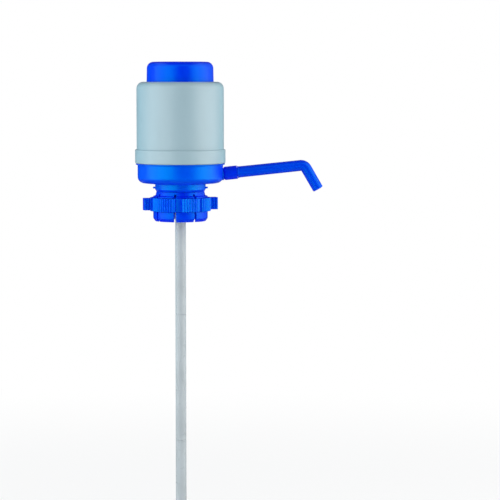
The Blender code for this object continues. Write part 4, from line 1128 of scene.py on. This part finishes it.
@dataclass
class DipTube(SubAssembly):
    """Milky tube in three lengths with flush plug joints and a notched foot."""

    segments: int = 64
    names: tuple[str, ...] = ("upper_dip_tube", "middle_dip_tube", "lower_dip_tube")
    radius: float = 6.7
    bore: float = 4.9
    top: float = 5.7
    bottom: float = -475.0
    joint_length: float = 12.0
    plug_radius: float = 5.7
    gap: float = 0.3
    edge: float = 0.3
    notch_half: float = 2.0
    notch_height: float = 5.0
    overrun: float = 2.0

    def length(self, index: int) -> BMesh:
        """Return one length of the tube.

        Args:
            index: Its number, counted from the top.

        Returns:
            The length in its place.
        """
        pitch = (self.top - self.bottom) / len(self.names)
        upper = self.top - index * pitch
        lower = upper - pitch
        is_first, is_last = index == 0, index == len(self.names) - 1
        shoulder = upper if is_first else upper - self.gap / 2
        end = lower if is_last else lower + self.gap / 2
        corners: list[Corner] = [(self.radius, shoulder, self.edge), (self.radius, end, self.edge)]
        if is_last:
            corners.append((self.bore, end, self.edge))
        else:
            socket_top = lower + self.joint_length + self.gap
            wide = self.plug_radius + self.gap
            corners += [(wide, end), (wide, socket_top), (self.bore, socket_top)]
        if is_first:
            corners.append((self.bore, shoulder, self.edge))
        else:
            plug_top = upper + self.joint_length
            corners += [(self.bore, plug_top), (self.plug_radius, plug_top, self.edge),
                        (self.plug_radius, shoulder)]
        tube = turned(corners, self.segments)
        if is_last:
            reach = self.radius + self.overrun
            notch = block((-reach, -self.notch_half, end - self.overrun),
                          (reach, self.notch_half, end + self.notch_height))
            tube = combined(tube, notch, Joining.CUT)
        return tube

    def build(self) -> None:
        """Build and dress the three lengths."""
        for index, name in enumerate(self.names):
            self.dress(f"{name}_skin", self.length(index), TUBE_FINISH, CadBody.BASE, Slot.TUBE, [name])


@dataclass
class MouthGasket(SubAssembly):
    """Flat rubber ring on the bottle's rim."""

    inner_radius: float = 20.0
    radius: float = 26.2
    thickness: float = 2.5
    edge: float = 0.5

    def build(self) -> None:
        """Build and dress the gasket."""
        gasket = turned([
            (self.inner_radius, 0, self.edge),
            (self.inner_radius, self.thickness, self.edge),
            (self.radius, self.thickness, self.edge),
            (self.radius, 0, self.edge),
        ], self.segments)
        self.dress("mouth_gasket_skin", gasket, GASKET_FINISH, CadBody.BASE, Slot.GASKET, ["mouth_gasket"])


@dataclass
class Bellows(SubAssembly):
    """Rubber bellows with rounded folds."""

    segments: int = 96
    bore: float = 29.5
    radius: float = 37.5
    wall: float = 1.3
    foot_radius: float = 45.6
    bottom: float = 36.0
    foot_top: float = 37.5
    top: float = 149.7
    flange_bottom: float = 148.2
    folds: int = 6
    fold_round: float = 1.0
    stroke: float = 22.0

    def keep(self) -> float:
        """Return the share of its height that the bellows keeps when the cap is down."""
        return 1 - self.stroke / (self.top - self.bottom)

    def build(self) -> None:
        """Build and dress the bellows."""
        pitch = (self.flange_bottom - self.foot_top) / self.folds
        valley = self.bore + self.wall
        outside: list[Corner] = []
        inside: list[Corner] = []
        for fold in range(self.folds):
            low = self.foot_top + fold * pitch
            outside += [(valley, low, self.fold_round / 2), (self.radius, low + pitch / 2, self.fold_round)]
            inside += [(self.bore, low, self.fold_round), (self.radius - self.wall, low + pitch / 2,
                                                           self.fold_round / 2)]
        outside += [(valley, self.flange_bottom, 0.3), (self.radius, self.flange_bottom, 0.3),
                    (self.radius, self.top, 0.3)]
        inside += [(self.bore, self.flange_bottom), (self.bore, self.top, 0.3)]
        foot: list[Corner] = [(self.bore, self.bottom), (self.foot_radius, self.bottom, 0.3),
                              (self.foot_radius, self.foot_top, 0.3)]
        body = turned(foot + outside + list(reversed(inside[1:])), self.segments)
        piece = self.dress("bellows_skin", body, BELLOWS_FINISH, CadBody.BASE, Slot.BELLOWS, ["bellows"])
        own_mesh(piece)


@dataclass
class ReturnSpring(SubAssembly):
    """Coil spring with closed end turns, inside the bellows."""

    radius: float = 24.9
    wire: float = 2.2
    bottom: float = 36.0
    top: float = 149.7
    closed_pitch: float = 2.8
    active_turns: int = 5
    steps_per_turn: int = 48
    wire_segments: int = 12
    stroke: float = 22.0

    def build(self) -> None:
        """Build and dress the spring."""
        low = self.bottom + self.wire / 2
        high = self.top - self.wire / 2
        pitch = (high - low - 2 * self.closed_pitch) / self.active_turns
        bm = bmesh.new()
        place = Matrix.Translation((self.radius, 0, low)) @ Matrix.Rotation(math.pi / 2, 4, "X")
        ring = bmesh.ops.create_circle(bm, cap_ends=True, segments=self.wire_segments,
                                       radius=self.wire / 2, matrix=place)["verts"]
        geometry = ring + [edge for edge in bm.edges]
        for turns, rise in ((1, self.closed_pitch), (self.active_turns, pitch), (1, self.closed_pitch)):
            steps = turns * self.steps_per_turn
            geometry = bmesh.ops.spin(bm, geom=geometry, cent=(0, 0, 0), axis=(0, 0, 1),
                                      dvec=(0, 0, rise / self.steps_per_turn), angle=math.tau * turns,
                                      steps=steps, use_merge=False, use_duplicate=False)["geom_last"]
            geometry = [item for item in geometry if not isinstance(item, bmesh.types.BMFace)]
        last = [item for item in geometry if isinstance(item, bmesh.types.BMEdge)]
        bmesh.ops.contextual_create(bm, geom=last)
        spring = self.dress("return_spring_coil", tidy(bm), SPRING_FINISH, CadBody.BASE, Slot.SPRING,
                            ["return_spring"])
        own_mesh(spring)


@dataclass
class InnerWorks:
    """Plates, valves and seals, which keep their CAD meshes and get their finishes."""

    plates: tuple[str, ...] = ("pressure_plate", "valve_plate", "bellows_clamp_ring")
    seals: tuple[str, ...] = ("valve_plate_seal", "spout_o_ring", "tube_seal", "intake_valve",
                              "delivery_valve")

    def build(self) -> None:
        """Dress the CAD nodes."""
        for names, finish in ((self.plates, INNER_FINISH), (self.seals, SEAL_FINISH)):
            material = finish.build()
            for name in names:
                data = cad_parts[name].data
                data.materials.clear()
                data.materials.append(material)
                LOG.info("%s: dressed in %s", name, finish.name)


@dataclass(frozen=True)
class Panel:
    """Place of a flat upright lamp or card that faces the pump's axis."""

    name: str
    azimuth_deg: float
    half_angle_deg: float
    distance: float
    bottom: float
    top: float

    def size(self) -> tuple[float, float]:
        """Return its width and height."""
        return 2 * self.distance * math.tan(math.radians(self.half_angle_deg)), self.top - self.bottom

    def place(self) -> Matrix:
        """Return its place, with its own Z towards the axis. An azimuth of zero is the camera's side."""
        turn = math.radians(self.azimuth_deg)
        middle = Vector((self.distance * math.sin(turn), -self.distance * math.cos(turn),
                         (self.bottom + self.top) / 2))
        inwards = Vector((-math.sin(turn), math.cos(turn), 0))
        return Matrix.Translation(middle) @ inwards.to_track_quat("Z", "Y").to_matrix().to_4x4()


@dataclass
class Studio:
    """White room with wide soft lamps, pale and dark cards that only gloss shows, and the camera."""

    camera_place: tuple[float, float, float] = (0.0876, -2.62, 0.145)
    camera_aim: tuple[float, float, float] = (0.0876, 0.0, -0.073)
    lens: float = 150.0
    sensor: float = 36.0
    floor_height: float = -0.478
    room: float = 6.0
    floor_colour: Colour = (0.90, 0.91, 0.92)
    floor_near: tuple[float, float] = (0.6, 0.6)
    floor_far: tuple[float, float] = (1.6, 1.0)
    sky_colour: Colour = (0.95, 0.98, 1.0)
    sky_light: float = 0.36
    lamps: tuple[tuple[Panel, float, Colour], ...] = (
        (Panel("left_lamp", -60.0, 40.0, 1.3, -0.45, 1.35), 2.0, (0.98, 1.0, 1.0)),
        (Panel("right_lamp", 77.0, 27.0, 1.3, -0.45, 1.35), 2.7, (1.02, 0.99, 0.95)),
        (Panel("rear_fill", 180.0, 35.0, 1.7, 0.0, 1.40), 1.4, (1.0, 1.0, 1.0)),
    )
    cards: tuple[tuple[Panel, Colour], ...] = (
        (Panel("left_card", -54.0, 39.0, 1.2, -0.45, 1.35), (1.1, 1.2, 1.2)),
        (Panel("right_card", 77.0, 37.0, 1.2, -0.45, 1.35), (1.2, 1.2, 1.2)),
        (Panel("left_gel", -119.0, 27.0, 1.5, -0.47, 1.6), (0.0, 0.35, 0.50)),
        (Panel("right_gel", 131.0, 19.0, 1.5, -0.47, 1.6), (0.15, 0.50, 0.60)),
        (Panel("front_flag", 12.0, 35.0, 3.2, -0.47, 2.6), (0.01, 0.01, 0.01)),
        (Panel("rear_flag", 182.0, 32.0, 1.5, -0.47, 2.2), (0.01, 0.01, 0.01)),
    )
    level_cards: tuple[tuple[str, float], ...] = (("top_flag", 2.3), ("table_flag", -0.47))
    level_half: float = 1.2
    level_colour: Colour = (0.01, 0.01, 0.01)

    def lamp(self, panel: Panel, brightness: float, colour: Colour) -> None:
        """Add an area lamp that neither the camera nor gloss shows.

        Args:
            panel: Its place and size.
            brightness: Its radiance.
            colour: Its colour.
        """
        light = bpy.data.lights.new(panel.name, "AREA")
        light.shape = "RECTANGLE"
        light.size, light.size_y = panel.size()
        light.energy = brightness * math.pi * light.size * light.size_y
        light.color = colour
        lamp = bpy.data.objects.new(panel.name, light)
        bpy.context.scene.collection.objects.link(lamp)
        lamp.matrix_world = panel.place() @ Matrix.Rotation(math.pi, 4, "Y")
        lamp.visible_camera = False
        lamp.visible_glossy = False

    @staticmethod
    def bare(name: str) -> Material:
        """Return a new material with nothing but its output."""
        material = bpy.data.materials.new(name)
        material.use_nodes = True
        material.node_tree.nodes.remove(material.node_tree.nodes["Principled BSDF"])
        return material

    def card(self, name: str, place: Matrix, colour: Colour) -> None:
        """Add a card that only glossy surfaces show.

        Args:
            name: Its name.
            place: Its place, turn and half size.
            colour: The light that it gives back.
        """
        material = self.bare(name)
        tree = material.node_tree
        glow = tree.nodes.new("ShaderNodeEmission")
        glow.inputs["Color"].default_value = (*colour, 1)
        tree.links.new(glow.outputs[0], tree.nodes["Material Output"].inputs["Surface"])
        card = self.sheet(name, place, material)
        card.visible_camera = False
        card.visible_diffuse = False
        card.visible_shadow = False
        card.visible_transmission = False

    def white_seen(self, name: str) -> Material:
        """Return a pale floor that is seen as plain white far away and takes shadows near the pump.

        Args:
            name: The material's name.

        Returns:
            The material.
        """
        material = self.bare(name)
        tree = material.node_tree
        paint = tree.nodes.new("ShaderNodeBsdfDiffuse")
        paint.inputs["Color"].default_value = (*self.floor_colour, 1)
        white = tree.nodes.new("ShaderNodeEmission")
        mix = tree.nodes.new("ShaderNodeMixShader")
        path = tree.nodes.new("ShaderNodeLightPath")
        away = tree.nodes.new("ShaderNodeVectorMath")
        away.operation = "LENGTH"
        whiten = tree.nodes.new("ShaderNodeMapRange")
        whiten.interpolation_type = "SMOOTHSTEP"
        for end, (distance, white_share) in (("Min", self.floor_near), ("Max", self.floor_far)):
            whiten.inputs[f"From {end}"].default_value = distance
            whiten.inputs[f"To {end}"].default_value = white_share
        share = tree.nodes.new("ShaderNodeMath")
        share.operation = "MULTIPLY"
        tree.links.new(tree.nodes.new("ShaderNodeTexCoord").outputs["Object"], away.inputs[0])
        tree.links.new(away.outputs["Value"], whiten.inputs["Value"])
        tree.links.new(self.seen(tree, path), share.inputs[0])
        tree.links.new(whiten.outputs["Result"], share.inputs[1])
        tree.links.new(share.outputs[0], mix.inputs[0])
        tree.links.new(paint.outputs[0], mix.inputs[1])
        tree.links.new(white.outputs[0], mix.inputs[2])
        tree.links.new(mix.outputs[0], tree.nodes["Material Output"].inputs["Surface"])
        return material

    @staticmethod
    def seen(tree: bpy.types.NodeTree, path: bpy.types.Node) -> Socket:
        """Return a socket that is 1 for camera, glossy and transmission rays.

        Args:
            tree: The node tree.
            path: Its Light Path node.

        Returns:
            The greatest of the three.
        """
        total = path.outputs["Is Camera Ray"]
        for name in ("Is Glossy Ray", "Is Transmission Ray"):
            node = tree.nodes.new("ShaderNodeMath")
            node.operation = "MAXIMUM"
            tree.links.new(total, node.inputs[0])
            tree.links.new(path.outputs[name], node.inputs[1])
            total = node.outputs[0]
        return total

    def sheet(self, name: str, matrix: Matrix, material: Material) -> bpy.types.Object:
        """Add a flat part of the room.

        Args:
            name: Its name.
            matrix: Its place, turn and half size.
            material: Its finish.

        Returns:
            The sheet.
        """
        bm = bmesh.new()
        bmesh.ops.create_grid(bm, x_segments=1, y_segments=1, size=1.0, matrix=matrix)
        made = holder(bm, name)
        made.data.materials.append(material)
        return made

    @staticmethod
    def level(height: float, half: float) -> Matrix:
        """Return the place and half size of a level sheet on the pump's axis."""
        return Matrix.Translation((0, 0, height)) @ Matrix.Diagonal((half, half, 1, 1))

    def world(self) -> None:
        """Give the world a soft even light, seen as white."""
        world = bpy.data.worlds.new("studio")
        bpy.context.scene.world = world
        world.use_nodes = True
        tree = world.node_tree
        soft = tree.nodes["Background"]
        soft.inputs["Color"].default_value = (*self.sky_colour, 1)
        soft.inputs["Strength"].default_value = self.sky_light
        white = tree.nodes.new("ShaderNodeBackground")
        white.inputs["Color"].default_value = (1, 1, 1, 1)
        mix = tree.nodes.new("ShaderNodeMixShader")
        path = tree.nodes.new("ShaderNodeLightPath")
        tree.links.new(self.seen(tree, path), mix.inputs[0])
        tree.links.new(soft.outputs[0], mix.inputs[1])
        tree.links.new(white.outputs[0], mix.inputs[2])
        tree.links.new(mix.outputs[0], tree.nodes["World Output"].inputs["Surface"])

    def camera(self) -> None:
        """Place the camera at the photograph's angle."""
        data = bpy.data.cameras.new("camera")
        data.lens = self.lens
        data.sensor_width = self.sensor
        camera = bpy.data.objects.new("camera", data)
        bpy.context.scene.collection.objects.link(camera)
        camera.location = self.camera_place
        view = Vector(self.camera_aim) - Vector(self.camera_place)
        camera.rotation_euler = view.to_track_quat("-Z", "Y").to_euler()
        bpy.context.scene.camera = camera

    def build(self) -> None:
        """Set up the room, the lamps and the camera."""
        self.world()
        self.sheet("floor", self.level(self.floor_height, self.room), self.white_seen("floor_white"))
        for lamp in self.lamps:
            self.lamp(*lamp)
        for panel, colour in self.cards:
            width, height = panel.size()
            self.card(panel.name, panel.place() @ Matrix.Diagonal((width / 2, height / 2, 1, 1)), colour)
        for name, height in self.level_cards:
            self.card(name, self.level(height, self.level_half), self.level_colour)
        self.camera()
        bpy.context.scene.view_settings.view_transform = "Standard"


def main() -> None:
    """Build the pump's pieces in order, then the studio."""
    logging.basicConfig(level=logging.INFO, format="%(name)s: %(message)s")
    for part in (PushButton(), Housing(), BaseBowl(), ColletSleeve(), ClampRing(), Spout(), SpoutNut(),
                 DipTube(), MouthGasket(), Bellows(), ReturnSpring(), InnerWorks()):
        part.build()
    Studio().build()


if __name__ == "__main__":
    main()
